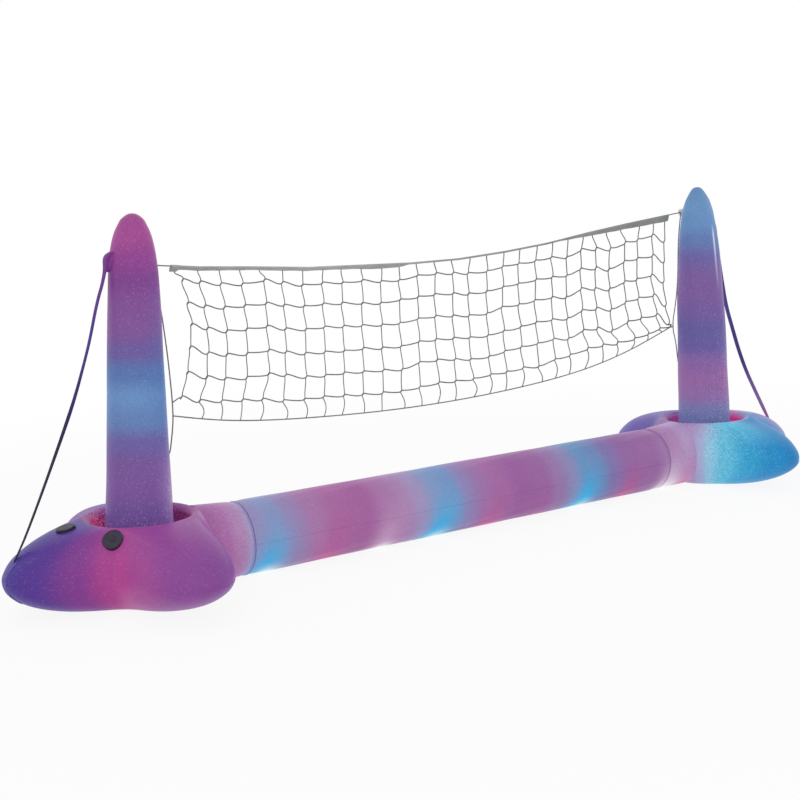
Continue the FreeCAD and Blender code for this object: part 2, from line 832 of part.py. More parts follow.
def head_points():
    left, right = eyelet(-1, 0), eyelet(1, 0)
    return [(left.x, left.z), *HEAD_ROPE, (right.x, right.z)]


def net_knot(column, row):
    """A knot of the mesh: columns hang from the band to the foot rope, and the sides bow in."""
    across = column / NET_COLUMNS
    drop = s.net_first_row.value + s.net_cell.value * (NET_ROWS - 1)
    down = 0 if row == 0 else (s.net_first_row.value + s.net_cell.value * (row - 1)) / drop
    top_x = s.net_left_edge.value + s.net_cell.value * column
    top_z = line_height(head_points(), top_x) - s.band_height.value + s.net_cord.value
    foot_left, foot_right = FOOT_ROPE[0][0] + 4, FOOT_ROPE[-1][0] - 4
    foot_x = foot_left + (foot_right - foot_left) * across
    foot_z = line_height(FOOT_ROPE, foot_x)
    bow = 4 * down * (1 - down) * s.net_side_bow.value
    bow = bow * (1 - across) ** 8 - bow * across ** 12
    return Vector(top_x + (foot_x - top_x) * down ** 1.5 + bow, 0, top_z + (foot_z - top_z) * down)


def inset_loop(corners, inset):
    """A polygon on the net's plane, listed clockwise from the front, drawn in by inset on each side."""
    made = []
    count = len(corners)
    for number, corner in enumerate(corners):
        into = (corner - corners[number - 1]).normalize()
        out = (corners[(number + 1) % count] - corner).normalize()
        inwards = Vector(into.z + out.z, 0, -into.x - out.x)
        made.append(corner + inwards * (inset / (1 + into.dot(out))))
    return Part.makePolygon(made + made[:1])


def make_netting():
    """The mesh as one holed face, a cord thick."""
    half = s.net_cord.value / 2
    top = [net_knot(c, 0) for c in range(NET_COLUMNS + 1)]
    right = [net_knot(NET_COLUMNS, r) for r in range(1, NET_ROWS + 1)]
    bottom = [net_knot(c, NET_ROWS) for c in range(NET_COLUMNS - 1, -1, -1)]
    left = [net_knot(0, r) for r in range(NET_ROWS - 1, 0, -1)]
    rim = inset_loop(top + right + bottom + left, -half)
    holes = []
    for column in range(NET_COLUMNS):
        for row in range(NET_ROWS):
            corners = [net_knot(column, row), net_knot(column + 1, row),
                       net_knot(column + 1, row + 1), net_knot(column, row + 1)]
            holes.append(inset_loop(corners, half))
    face = Part.makeFace([rim] + holes, "Part::FaceMakerBullseye")
    mesh = face.extrude(Vector(0, s.net_cord.value, 0))
    mesh.translate(Vector(0, (s.net_back - s.net_cord / 2).value, 0))
    finish(shaped("net_mesh", mesh), "netting")


def make_head_band(line):
    """Webbing folded round the head rope and sewn below it, on the rope's own line."""
    start = s.net_left_edge - s.band_end_gap
    length = s.net_cell * NET_COLUMNS + 2 * s.band_end_gap
    snug = s.rope_diameter.value / 2 + s.lead_clearance.value
    wall, half, tail = snug + s.sleeve_wall.value, s.band_film.value / 2, s.band_height.value
    tip = line.Edges[0].Vertexes[0].Point
    ahead = (line.Edges[0].Vertexes[1].Point - tip).normalize()
    beside = Vector(0, 0, 1).cross(ahead).normalize()
    up = ahead.cross(beside)
    shoulder = -math.sqrt(wall ** 2 - half ** 2)
    left_low, left, crown, right, right_low = [
        tip + beside * a + up * b
        for a, b in ((half, -tail), (half, shoulder), (0, wall), (-half, shoulder), (-half, -tail))]
    outline = Part.Wire([Part.makeLine(left_low, left), Part.Arc(left, crown, right).toShape(),
                         Part.makeLine(right, right_low), Part.makeLine(right_low, left_low)])
    way = sweep(line, Part.Wire(Part.Circle(tip, ahead, snug).toShape()))
    span = Part.makeBox(length.value, 100, 200, Vector(start.value, 0, HEAD_ROPE[0][1] - 100))
    finish(shaped("head_band", sweep(line, outline).cut(way).common(span)), "net_head_band")


def make_tabs(word, side):
    """Eyelet tabs welded to the back of a post, with their grommets."""
    azimuth, heights = tab_spots(side)
    tabs, rings = [], []
    turn = azimuth if side < 0 else 180 - azimuth
    for number, height in enumerate(heights, 1):
        name = f"{word}_tab_{number}"
        spot = post_spot(side, height.value, azimuth.value)
        place = Placement(spot, Rotation(Vector(0, 0, 1), turn.value))
        disc = primitive("Cylinder", f"{name}_disc", place.multiply(move(-10, 0, 0, (0, 1, 0), 90)),
                         Radius=s.tab_patch_radius, Height=30)
        patch = post_wrap(f"{name}_patch", side, disc)
        ear_start = move(s.weld_gap + s.patch_film / 2, -s.tab_film / 2, -s.tab_height / 2)
        ear = primitive("Box", f"{name}_ear", place.multiply(ear_start),
                        Length=s.tab_reach - s.patch_film / 2, Width=s.tab_film, Height=s.tab_height)
        seat = s.eyelet_radius + s.eyelet_wall
        across = place.multiply(move(s.eyelet_reach, 0, 0, (1, 0, 0), 90))
        hole = primitive("Cylinder", f"{name}_hole", across.multiply(move(0, 0, -s.tab_film)),
                         Radius=seat + s.lead_clearance / 2, Height=2 * s.tab_film)
        skin = post_solid(f"{name}_skin", side, s.weld_gap)
        tabs.append(cut(name, fuse(f"{name}_whole", patch, ear), hole, skin))
        rim, half, lip = s.eyelet_rim, s.tab_film / 2 + s.weld_gap, s.eyelet_wall
        outline = [(s.eyelet_radius, -half - lip), (rim, -half - lip), (rim, -half), (seat, -half),
                   (seat, half), (rim, half), (rim, half + lip), (s.eyelet_radius, half + lip)]
        rings.append(turned(f"{name}_grommet", outline, across))
    for label, group in ((f"{word}_net_tabs", tabs), (f"{word}_net_grommets", rings)):
        compound = doc.addObject("Part::Compound", f"{label}_set")
        compound.Links = group
        finish(compound, label)


# Light pod


def make_pod():
    """The battery and switch pod in the left foot, turned parts on one slanting axis."""
    mouth, wall, depth = s.pod_mouth_radius, s.pod_tub_radius - s.pod_mouth_radius, s.pod_depth
    cells = COIN_CELLS * s.coin_height
    ledge = -s.pod_cap_height - s.board_thickness - s.pod_button_travel
    snug = s.coin_radius + s.lead_clearance
    lead_hole = s.lead_radius + s.lead_clearance
    flange, rim = s.pod_radius, s.pod_tub_radius
    outline = [(lead_hole, -depth), (snug + wall, -depth), (snug + wall, ledge - wall), (rim, ledge - wall),
               (rim, s.film), (mouth, s.film), (mouth, ledge), (snug, ledge), (snug, -depth + wall),
               (lead_hole, -depth + wall)]
    barrel = turned("pod_barrel", outline, POD)
    collar = seated_flange("pod_flange", POD, flange, rim, -s.pod_flange_depth, s.film)
    finish(fuse("pod_tub", barrel, collar), "light_pod_tub")

    low, top = s.film + s.weld_gap, s.film + s.weld_gap + s.pod_cap_height
    skirt, hole = mouth - s.valve_wall, s.pod_button_radius + s.lead_clearance
    roof = top - s.film
    pocket = s.pod_button_radius + 2 * s.film
    cap = [(pocket, -s.film), (skirt, -s.film), (skirt, low), (flange, low), (flange, top - s.film),
           (flange - s.film, top), (hole, top), (hole, roof), (pocket, roof)]
    finish(turned("pod_cap", cap, POD), "light_pod_cap")
    seal = primitive("Torus", "pod_seal", POD.multiply(move(0, 0, low - 2 * s.weld_gap - s.valve_wall / 2)),
                     Radius1=(mouth + skirt) / 2, Radius2=(mouth - skirt) / 2 - s.lead_clearance / 2)
    finish(seal, "light_pod_seal")

    lip = s.pod_button_radius + s.film / 2
    lip_top = roof - s.weld_gap
    plunger = s.pod_button_radius / 3
    dome_top = ledge + s.board_thickness + s.film
    reach = dome_top + s.pod_button_travel + s.weld_gap
    button = [(0, reach), (plunger, reach), (plunger, lip_top - s.film), (lip, lip_top - s.film),
              (lip, lip_top), (s.pod_button_radius, lip_top), (s.pod_button_radius, top),
              (s.pod_button_radius - s.film / 2, top + s.film / 2), (0, top + s.film / 2)]
    finish(turned("button", button, POD), "power_button")

    board = primitive("Cylinder", "board", POD.multiply(move(0, 0, ledge)),
                      Radius=mouth - s.lead_clearance, Height=s.board_thickness)
    finish(board, "circuit_board")
    dome = primitive("Cylinder", "dome", POD.multiply(move(0, 0, ledge + s.board_thickness)),
                     Radius=plunger + s.film / 2, Height=s.film)
    finish(dome, "button_switch")
    stack = []
    for number in range(COIN_CELLS):
        place = POD.multiply(move(0, 0, ledge - (number + 1) * s.coin_height))
        stack.append(primitive("Cylinder", f"coin_{number}", place, Radius=s.coin_radius,
                               Height=s.coin_height - s.weld_gap / 2))
    group = doc.addObject("Part::Compound", "coins")
    group.Links = stack
    finish(group, "coin_cells")
    floor = -depth + wall
    clip = primitive("Cylinder", "clip", POD.multiply(move(0, 0, floor + s.weld_gap / 2)),
                     Radius=s.coin_radius - s.film, Height=ledge - cells - floor - s.weld_gap)
    middle = primitive("Cylinder", "clip_hole", POD.multiply(move(0, 0, floor)),
                       Radius=s.lead_radius + s.film, Height=4 * s.film)
    finish(cut("clip_ring", clip, middle), "cell_contact_clip")
    gland = [(lead_hole, 0), (snug - s.film, 0), (snug - s.film, -s.film), (2 * s.lead_radius, -3 * s.film),
             (lead_hole, -3 * s.film)]
    finish(turned("gland", gland[::-1], POD.multiply(move(0, 0, -depth - s.weld_gap / 2))), "pod_cable_gland")


def make_pod_lead():
    """The lead from the pod down to the left splice block, inside the foot."""
    inside = POD.multVec(Vector(0, 0, -s.pod_depth.value))
    out = POD.multVec(Vector(0, 0, -s.pod_depth.value - 18))
    x = -s.post_spacing_half.value
    block_face = -s.splice_width.value / 2
    low = lead_height().value
    points = [tuple(inside), tuple(out), (x - 62, -86, 66), (x - 44, -70, 38), (x - 22, -56, 16),
              (x - 5, -42, low + 1), (x, -26, low), (x, block_face, low)]
    wire, radii = route(points)
    radius = s.lead_radius.value
    start = wire.Edges[0].Vertexes[0].Point
    ahead = wire.Edges[0].Vertexes[1].Point - start
    solid = sweep(wire, Part.Wire(Part.Circle(start, ahead, radius).toShape()))
    share = solid.Volume / (math.pi * radius ** 2 * wire.Length)
    print(f"pod lead: {wire.Length:.0f} mm, arcs {[round(r) for r in radii]}, volume share {share:.4f}")
    finish(shaped("pod_lead_line", solid), "pod_lead")


# Air valves


def make_main_valve():
    """The base chamber's wide valve on the left foot's outer lobe: seat, flap and hinged cap."""
    throat, wall, depth = s.valve_throat_radius, s.valve_wall, s.valve_depth
    flange, low = s.valve_flange_radius, s.film
    outline = [(throat, -depth), (throat + wall, -depth), (throat + wall, low), (throat, low)]
    barrel = turned("valve_barrel", outline, VALVE)
    collar = seated_flange("valve_flange", VALVE, flange, throat + wall, -s.pod_flange_depth, low)
    finish(fuse("valve_seat", barrel, collar), "base_valve_seat")
    flap = primitive("Cylinder", "flap", VALVE.multiply(move(0, 0, -depth - s.weld_gap - s.film / 2)),
                     Radius=throat + wall / 2, Height=s.film / 2)
    finish(flap, "base_valve_flap")
    plug, lid = low + s.weld_gap, low + s.weld_gap + s.valve_cap_height
    cap = [(0, plug - s.valve_plug_depth), (s.valve_plug_radius, plug - s.valve_plug_depth),
           (s.valve_plug_radius, plug), (flange - s.film, plug), (flange - s.film, lid - s.film),
           (flange - 2 * s.film, lid), (0, lid)]
    finish(turned("valve_cap", cap, VALVE), "base_valve_cap")


def stem_place(side, along=0):
    """The post valve's own frame: its Z points out of the back of the post."""
    spot = post_spot(side, s.stem_height.value, 90)
    return facing(tuple(spot), (0, 1, 0)).multiply(move(0, 0, along))


def make_post_valve(word, side):
    """A push-in valve: a collar welded to the skin, a sliding stem and a hinged plug."""
    place = stem_place(side)
    gap = s.lead_clearance
    inner = s.stem_radius + gap
    outer = inner + s.collar_wall
    face = 2 * s.patch_film
    tube = turned(f"{word}_collar_tube", [(inner, -s.collar_depth), (outer, -s.collar_depth),
                                          (outer, face), (inner, face)], place)
    disc = primitive("Cylinder", f"{word}_collar_disc", stem_place(side, -10),
                     Radius=s.collar_flange_radius, Height=30)
    way = primitive("Cylinder", f"{word}_collar_way", stem_place(side, -20), Radius=inner, Height=40)
    flange = cut(f"{word}_collar_flange", post_wrap(f"{word}_collar_patch", side, disc), way)
    finish(fuse(f"{word}_collar", tube, flange), f"{word}_post_valve_collar")
    low = face + gap
    head = low + s.stem_head
    stem = [(s.stem_bore, low - s.stem_length), (s.stem_radius, low - s.stem_length), (s.stem_radius, low),
            (s.stem_head_radius, low), (s.stem_head_radius, head), (s.stem_bore, head)]
    finish(turned(f"{word}_stem", stem, place), f"{word}_post_valve_stem")
    base = head + s.weld_gap
    plug = [(0, base - s.plug_pin), (s.plug_pin_radius, base - s.plug_pin), (s.plug_pin_radius, base),
            (s.stem_head_radius - s.weld_gap, base), (s.stem_head_radius - s.weld_gap, base + s.plug_lid),
            (0, base + s.plug_lid)]
    finish(turned(f"{word}_plug", plug, place), f"{word}_post_valve_plug")


def check_document():
    """Every object up to date, every finished piece a valid solid."""
    doc.recompute()
    for item in doc.Objects:
        if "Invalid" in item.State or "Error" in item.State:
            raise RuntimeError(f"{item.Name} failed: {item.State}")
    labels = [item.Label for item in finished]
    if len(set(labels)) != len(labels):
        raise RuntimeError("two pieces share a label")
    for item in finished:
        shape = item.Shape
        if shape.isNull() or not shape.isValid() or not shape.Solids:
            raise RuntimeError(f"{item.Label} isn't a valid solid")


def write_pieces():
    os.makedirs("parts", exist_ok=True)
    for item in finished:
        item.Shape.exportStep(f"parts/{item.Label}.step")
    print(len(finished), "pieces written")


make_tube()
for side_word, side_sign in (("left", -1), ("right", 1)):
    make_weld_ring(side_word, side_sign)
    make_foot(side_word, side_sign)
    make_post(side_word, side_sign)
    make_bushing(side_word, side_sign)
    make_splice(side_word, side_sign)
    make_post_lights(side_word, side_sign)
    make_strap(side_word, side_sign)
    make_strap_patches(side_word, side_sign)
    make_tabs(side_word, side_sign)
    make_post_valve(side_word, side_sign)
make_light_string()
make_ropes()
make_netting()
make_pod()
make_pod_lead()
make_main_valve()
check_document()
write_pieces()
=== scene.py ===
"""Looks of the lit inflatable net: skins, straps, net, cords, fittings and the studio round them."""

import json
import math

import bpy
import numpy as np
from bpy.props import FloatProperty, FloatVectorProperty, IntProperty, PointerProperty
from mathutils import Matrix


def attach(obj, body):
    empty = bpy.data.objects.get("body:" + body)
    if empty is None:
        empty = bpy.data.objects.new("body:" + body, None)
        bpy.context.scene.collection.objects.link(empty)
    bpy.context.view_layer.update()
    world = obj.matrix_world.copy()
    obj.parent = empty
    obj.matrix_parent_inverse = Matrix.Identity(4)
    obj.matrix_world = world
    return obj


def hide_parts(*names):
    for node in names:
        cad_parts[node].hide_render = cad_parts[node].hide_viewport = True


bl_info = {
    "name": "Lit inflatable net",
    "version": (1, 0, 0),
    "blender": (4, 2, 0),
    "location": "View3D > Sidebar > Float net",
    "description": "Builds the skins, straps, net, cords and fittings of an inflatable net with lit posts",
    "category": "Add Mesh",
}

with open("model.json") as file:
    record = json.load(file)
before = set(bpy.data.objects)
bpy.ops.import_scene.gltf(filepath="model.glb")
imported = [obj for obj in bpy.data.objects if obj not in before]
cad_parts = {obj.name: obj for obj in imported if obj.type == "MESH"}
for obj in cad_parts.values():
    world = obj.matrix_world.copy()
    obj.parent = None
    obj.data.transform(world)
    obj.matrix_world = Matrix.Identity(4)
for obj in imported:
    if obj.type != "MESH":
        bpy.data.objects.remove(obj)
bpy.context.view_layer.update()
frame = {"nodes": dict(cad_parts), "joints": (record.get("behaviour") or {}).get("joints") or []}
FLOAT = "float"
SIDES = {"left": -1, "right": 1}
TURN = 2 * math.pi


# Colours


def linear(code):
    """A colour written as six hex digits, as linear light."""
    values = np.array([int(code[i:i + 2], 16) for i in (0, 2, 4)]) / 255
    return np.where(values <= 0.04045, values / 12.92, ((values + 0.055) / 1.055) ** 2.4)


def rgba(code):
    """Such a colour with full alpha."""
    return (*linear(code), 1.0)


def bands(at, stops):
    """Colours along a row of stops, (place, hex digits), smoothly blended between neighbours."""
    places = np.array([place for place, code in stops], float)
    colours = np.array([linear(code) for place, code in stops])
    step = np.clip(np.searchsorted(places, at) - 1, 0, len(places) - 2)
    share = np.clip((at - places[step]) / (places[step + 1] - places[step]), 0, 1)
    share = (share * share * (3 - 2 * share))[..., None]
    return colours[step] * (1 - share) + colours[step + 1] * share


def blended(paint, code, weight):
    """A paint with some of one colour mixed in."""
    return paint + (linear(code) - paint) * np.clip(weight, 0, 1)[..., None]


def bump_of(distance, width):
    """A smooth hill: 1 at no distance, near 0 past twice the width."""
    return np.exp(-(distance / width) ** 2)


# Shader nodes as Python values


class Value:
    """One output of a shader node. Arithmetic on it adds Math nodes."""

    def __init__(self, nodes, socket):
        self.nodes = nodes
        self.socket = socket

    def maths(self, operation, first, second):
        return self.nodes.add("ShaderNodeMath", {"operation": operation}, first, second)

    def __add__(self, other):
        return self.maths("ADD", self, other)

    __radd__ = __add__

    def __mul__(self, other):
        return self.maths("MULTIPLY", self, other)

    __rmul__ = __mul__

    def __sub__(self, other):
        return self.maths("SUBTRACT", self, other)

    def __rsub__(self, other):
        return self.maths("SUBTRACT", other, self)

    def __truediv__(self, other):
        return self.maths("DIVIDE", self, other)

    def __rtruediv__(self, other):
        return self.maths("DIVIDE", other, self)

    def __gt__(self, other):
        return self.maths("GREATER_THAN", self, other)

    def __lt__(self, other):
        return self.maths("LESS_THAN", self, other)

    def clamped(self):
        """The value held between 0 and 1."""
        return self.nodes.add("ShaderNodeClamp", {}, self)

    def between(self, low, high):
        """0 below low, 1 above high, straight between them."""
        return ((self - low) / (high - low)).clamped()


class Nodes:
    """A node tree under construction."""

    def __init__(self, owner):
        owner.use_nodes = True
        self.tree = owner.node_tree
        self.tree.nodes.clear()

    def node(self, kind, settings=None, *values, **named):
        """A node with its settings made first, then its inputs by order or by name."""
        made = self.tree.nodes.new(kind)
        for key, value in (settings or {}).items():
            setattr(made, key, value)
        for number, value in enumerate(values):
            self.feed(made.inputs[number], value)
        for key, value in named.items():
            self.feed(made.inputs[key.replace("_", " ").title()], value)
        return made

    def add(self, kind, settings=None, *values, **named):
        """The first output of such a node."""
        return Value(self, self.node(kind, settings, *values, **named).outputs[0])

    def feed(self, socket, value):
        """Link a socket, or set it to a number or a colour."""
        value = getattr(value, "socket", value)
        if isinstance(value, bpy.types.NodeSocket):
            self.tree.links.new(value, socket)
        else:
            socket.default_value = value


class Finish(Nodes):
    """A material under construction, ending in one Principled shader."""

    def __init__(self, name, **fixed):
        self.material = bpy.data.materials.new(name)
        super().__init__(self.material)
        self.shader = self.node("ShaderNodeBsdfPrincipled")
        self.out = self.node("ShaderNodeOutputMaterial", {}, self.shader.outputs[0])
        self.here = self.node("ShaderNodeTexCoord").outputs["Object"]
        for key, value in fixed.items():
            self.set(key.replace("_", " ").title().replace("Ior", "IOR"), value)

    def set(self, name, value):
        """Feed a socket of the shader."""
        self.feed(self.shader.inputs[name], value)

    def noise(self, size, detail=2.0, roughness=0.5):
        """Cloudy noise with features of about that size in metres, from 0 to 1."""
        return self.add("ShaderNodeTexNoise", {}, Vector=self.here, Scale=1 / size, Detail=detail,
                        Roughness=roughness)

    def cells(self, size):
        """Two random numbers from 0 to 1 for each cell of that size."""
        cells = self.node("ShaderNodeTexVoronoi", {}, Vector=self.here, Scale=1 / size)
        parts = self.node("ShaderNodeSeparateColor", {}, cells.outputs["Color"])
        return Value(self, parts.outputs[0]), Value(self, parts.outputs[1])

    def mixed(self, share, first, second, blend="MIX"):
        """A colour between two, by share. The Mix node's colour inputs are its seventh and eighth."""
        made = self.node("ShaderNodeMix", {"data_type": "RGBA", "blend_type": blend}, share)
        self.feed(made.inputs[6], first)
        self.feed(made.inputs[7], second)
        return Value(self, made.outputs[2])

    def paint(self):
        """The piece's painted colour and its share of glitter."""
        made = self.node("ShaderNodeAttribute", {"attribute_name": "tint"})
        return Value(self, made.outputs["Color"]), Value(self, made.outputs["Alpha"])

    def shaded(self, colour, shade):
        """A colour times a brightness."""
        grey = self.add("ShaderNodeCombineColor", {}, shade, shade, shade)
        return self.mixed(1.0, colour, grey, "MULTIPLY")

    def lit(self, colour, glow):
        """Part of the colour shines from inside, the rest is lit from outside."""
        self.set("Base Color", self.mixed(glow, colour, (0, 0, 0, 1)))
        self.set("Emission Color", colour)
        self.shader.inputs["Emission Strength"].default_value = glow

    def relief(self, height, depth, strength=1.0):
        """Bump from a height value, with its depth in metres."""
        self.set("Normal", self.add("ShaderNodeBump", {}, Strength=strength, Distance=depth, Height=height))


# Meshes from grids


def circle(columns):
    """Even angles round a full turn."""
    return np.arange(columns) / columns * TURN


def grid_faces(rows, columns, close_rows=False, close_columns=False, first=0):
    """Corner numbers of the quads between neighbouring rows and columns of a grid."""
    across = np.arange(columns if close_columns else columns - 1)
    along = np.arange(rows if close_rows else rows - 1)
    a, c = np.meshgrid(along, across, indexing="ij")
    b, d = (a + 1) % rows, (c + 1) % columns
    corners = [a * columns + c, a * columns + d, b * columns + d, b * columns + c]
    return first + np.stack(corners, -1).reshape(-1, 4)


def new_mesh(name, points, quads, triangles=(), tints=None, uv=None, smooth=True):
    """An object from arrays of points, quads and triangles, with optional paint and UVs by point."""
    mesh = bpy.data.meshes.new(name)
    triangles = np.asarray(triangles, np.int32).reshape(-1, 3)
    quads = np.asarray(quads, np.int32).reshape(-1, 4)
    corners = np.concatenate([quads.ravel(), triangles.ravel()]).astype(np.int32)
    sizes = np.concatenate([np.full(len(quads), 4), np.full(len(triangles), 3)])
    mesh.vertices.add(len(points))
    mesh.vertices.foreach_set("co", np.asarray(points, np.float32).ravel())
    mesh.loops.add(len(corners))
    mesh.loops.foreach_set("vertex_index", corners)
    mesh.polygons.add(len(sizes))
    mesh.polygons.foreach_set("loop_start", np.concatenate([[0], np.cumsum(sizes)[:-1]]).astype(np.int32))
    mesh.polygons.foreach_set("use_smooth", np.full(len(sizes), smooth))
    if tints is not None:
        layer = mesh.attributes.new("tint", "FLOAT_COLOR", "POINT")
        layer.data.foreach_set("color", np.asarray(tints, np.float32).ravel())
    if uv is not None:
        layer = mesh.uv_layers.new(name="UVMap")
        layer.data.foreach_set("uv", np.asarray(uv, np.float32)[corners].ravel())
    mesh.update(calc_edges=True)
    mesh.validate()
    made = bpy.data.objects.new(name, mesh)
    bpy.context.scene.collection.objects.link(made)
    return made


class Shell:
    """Grids gathered into one mesh, each with its paint: a colour and a share of glitter by point."""

    def __init__(self):
        self.points, self.quads, self.triangles, self.tints, self.uv = [], [], [], [], []
        self.count = 0

    def grid(self, points, tints=None, glitter=0.0, wrap=False, loop=False, caps=(False, False), flip=False,
             uv=None):
        """One grid: columns wrap round, rows may loop too, and a capped end closes on its middle point."""
        rows, columns = points.shape[:2]
        quads = grid_faces(rows, columns, close_rows=loop, close_columns=wrap, first=self.count)
        flat = points.reshape(-1, 3)
        paint = np.ones((len(flat), 4))
        if tints is not None:
            paint[:, :3] = tints.reshape(-1, 3)
        paint[:, 3] = np.broadcast_to(glitter, points.shape[:2]).ravel()
        chart = np.zeros((len(flat), 2)) if uv is None else uv.reshape(-1, 2)
        added = []
        for end, capped in enumerate(caps):
            if not capped:
                continue
            row = 0 if end == 0 else rows - 1
            ring = self.count + row * columns + np.arange(columns)
            middle = self.count + len(flat)
            flat = np.concatenate([flat, points[row].mean(0)[None]])
            paint = np.concatenate([paint, paint[row * columns:(row + 1) * columns].mean(0)[None]])
            chart = np.concatenate([chart, chart[row * columns:(row + 1) * columns].mean(0)[None]])
            fan = np.stack([ring, np.roll(ring, -1), np.full(columns, middle)], -1)
            added.append(fan[:, ::-1] if end == 0 else fan)
        triangles = np.concatenate(added) if added else np.zeros((0, 3), int)
        if flip:
            quads, triangles = quads[:, ::-1], triangles[:, ::-1]
        return self.keep(flat, quads, triangles, paint, chart)

    def keep(self, points, quads, triangles, paint, chart):
        """Add finished arrays; corner numbers count on from the points before."""
        self.points.append(points)
        self.quads.append(quads)
        self.triangles.append(triangles)
        self.tints.append(paint)
        self.uv.append(chart)
        self.count += len(points)
        return self

    def tubes(self, lines, radius, sides):
        """A round tube with closed ends along every line, by its own radii. No line may run along Y."""
        count, steps = lines.shape[:2]
        ahead = np.gradient(lines, axis=1)
        ahead /= np.linalg.norm(ahead, axis=2)[..., None]
        beside = np.cross(ahead, [0.0, 1.0, 0.0])
        beside /= np.linalg.norm(beside, axis=2)[..., None]
        above = np.cross(ahead, beside)
        turn = circle(sides)[:, None]
        ring = beside[:, :, None] * np.cos(turn) + above[:, :, None] * np.sin(turn)
        points = (lines[:, :, None] + radius[..., None, None] * ring).reshape(-1, 3)
        first = self.count + (np.arange(count) * steps * sides)[:, None, None]
        quads = (grid_faces(steps, sides, close_columns=True) + first).reshape(-1, 4)
        fan = np.array([(0, i + 1, i) for i in range(1, sides - 1)])
        ends = np.concatenate([first + fan, first + fan[:, ::-1] + (steps - 1) * sides], 1).reshape(-1, 3)
        return self.keep(points, quads, ends, np.ones((len(points), 4)), np.zeros((len(points), 2)))

    def cut(self, joint, radius, reach=0.03):
        """Leave out the last grid's faces whose middle is within radius of a joint's axis, near its point."""
        row = next(j for j in frame["joints"] if j["name"] == joint)
        axis = np.array(row["axis"])
        flat, quads = self.points[-1], self.quads[-1]
        away = flat[quads - self.count + len(flat)].mean(1) - row["pos_m"]
        along = away @ axis
        near = (np.linalg.norm(away - along[:, None] * axis, axis=1) < radius) & (np.abs(along) < reach)
        self.quads[-1] = quads[~near]
        return self

    def build(self, name, charted=False):
        """The gathered mesh as one object, with its UV map where it is charted."""
        return new_mesh(name, np.concatenate(self.points), np.concatenate(self.quads),
                        np.concatenate(self.triangles), np.concatenate(self.tints),
                        np.concatenate(self.uv) if charted else None)


def thicken(piece):
    """Film thickness, grown inwards."""
    wall = piece.modifiers.new("Film", "SOLIDIFY")
    wall.thickness = settings().film.thickness
    wall.offset = -1
    return piece


def dress(piece, material, body=FLOAT, instead=()):
    """Give a new piece its finish, its body and the CAD nodes it stands for."""
    piece.data.materials.clear()
    piece.data.materials.append(material)
    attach(piece, body)
    if instead:
        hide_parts(*instead)
    return piece


def coat(node, material):
    """Give a CAD node another finish."""
    for place in frame["nodes"][node].material_slots:
        place.material = material


# Wrinkles

# Depth of the skin's dip at a weld ring, how far it reaches, and how many times as far its puckers do
RING_DIP = 0.0022
RING_REACH = 0.016
RING_FADE = 2.2


def ripple(turn, waves, seed):
    """Uneven waves round a closed line: a few sines with whole numbers of waves, from -1 to 1."""
    random = np.random.default_rng(seed)
    total = np.zeros_like(turn)
    for number in waves:
        total += random.uniform(0.4, 1.0) * np.sin(number * turn + random.uniform(0, TURN))
    return total / (0.6 * math.sqrt(len(waves)) * 1.8)


def gathers(turn, seed):
    """Small puckers along a weld: fine ripples whose strength comes and goes."""
    fine = ripple(turn, (61, 74, 89, 103, 118, 137), seed)
    swell = 0.5 + 0.5 * ripple(turn, (5, 8, 13, 17), seed + 1)
    return fine * np.clip(swell, 0.1, 1.2)


def beside_ring(away, turn, seed, share=1.0):
    """How far the skin stands out near a weld ring: drawn in as a bell, with puckers that reach further."""
    near = away / RING_REACH
    folds = share * settings().film.pucker * gathers(turn, seed)
    return folds * np.exp(-near / RING_FADE) - RING_DIP * np.exp(-near ** 2)


def above_floor(points, gap=0.0001):
    """The points with none lower than a small gap above the floor."""
    points[..., 2] = np.maximum(points[..., 2], gap)
    return points


# Sizes and colours that a user may change


def metres(name, default, description):
    """A length among the settings."""
    return FloatProperty(name=name, description=description, default=default, unit="LENGTH")


class FilmSettings(bpy.types.PropertyGroup):
    thickness: metres("Film", 0.0012, "Thickness of the vinyl film")
    weld_dip: metres("Weld dip", 0.0007, "How far the skin is drawn in at a weld")
    pucker: metres("Pucker", 0.0007, "Height of the puckers along a weld")
    flake: metres("Flake", 0.0022, "Size of one glitter flake")
    glow: FloatProperty(name="Glow", default=0.5,
                        description="Share of the film's colour that shines from inside")
    speckle: FloatProperty(name="Glitter", description="Strength of the glitter in the film", default=1.0)


class TubeSettings(bpy.types.PropertyGroup):
    radius: metres("Radius", 0.087, "Radius of the float tube")
    half_length: metres("Half length", 0.664, "From the middle to a weld ring")
    ring_width: metres("Ring width", 0.009, "Width of a weld ring")


class FootSettings(bpy.types.PropertyGroup):
    centre: metres("Centre", 0.9, "From the middle of the tube to a post")
    height: metres("Height", 0.184, "Height of a foot")
    outer_reach: metres("Outer reach", 0.314, "Length of the outer lobe")
    back_reach: metres("Back reach", 0.336, "Length of the back lobes")
    left_front: metres("Left front reach", 0.343, "Length of the left foot's front lobe")
    right_front: metres("Right front reach", 0.324, "Length of the right foot's front lobe")
    inner_reach: metres("Inner reach", 0.150, "Length towards the tube")
    outer_waist: metres("Outer waist", 0.187, "Radius between the outer lobes")
    inner_waist: metres("Inner waist", 0.165, "Radius between lobe and neck")
    sole_radius: metres("Sole", 0.101, "Radius of the flat sole")
    crest_radius: metres("Crest", 0.121, "Radius where the crown is highest")
    well_radius: metres("Well", 0.127, "Radius of the well's seam")
    lip_radius: metres("Lip", 0.019, "Roundness of the well's lip")
    floor_radius: metres("Floor radius", 0.094, "Radius of the well's floor")
    floor_height: metres("Floor height", 0.112, "Height of the well's floor")


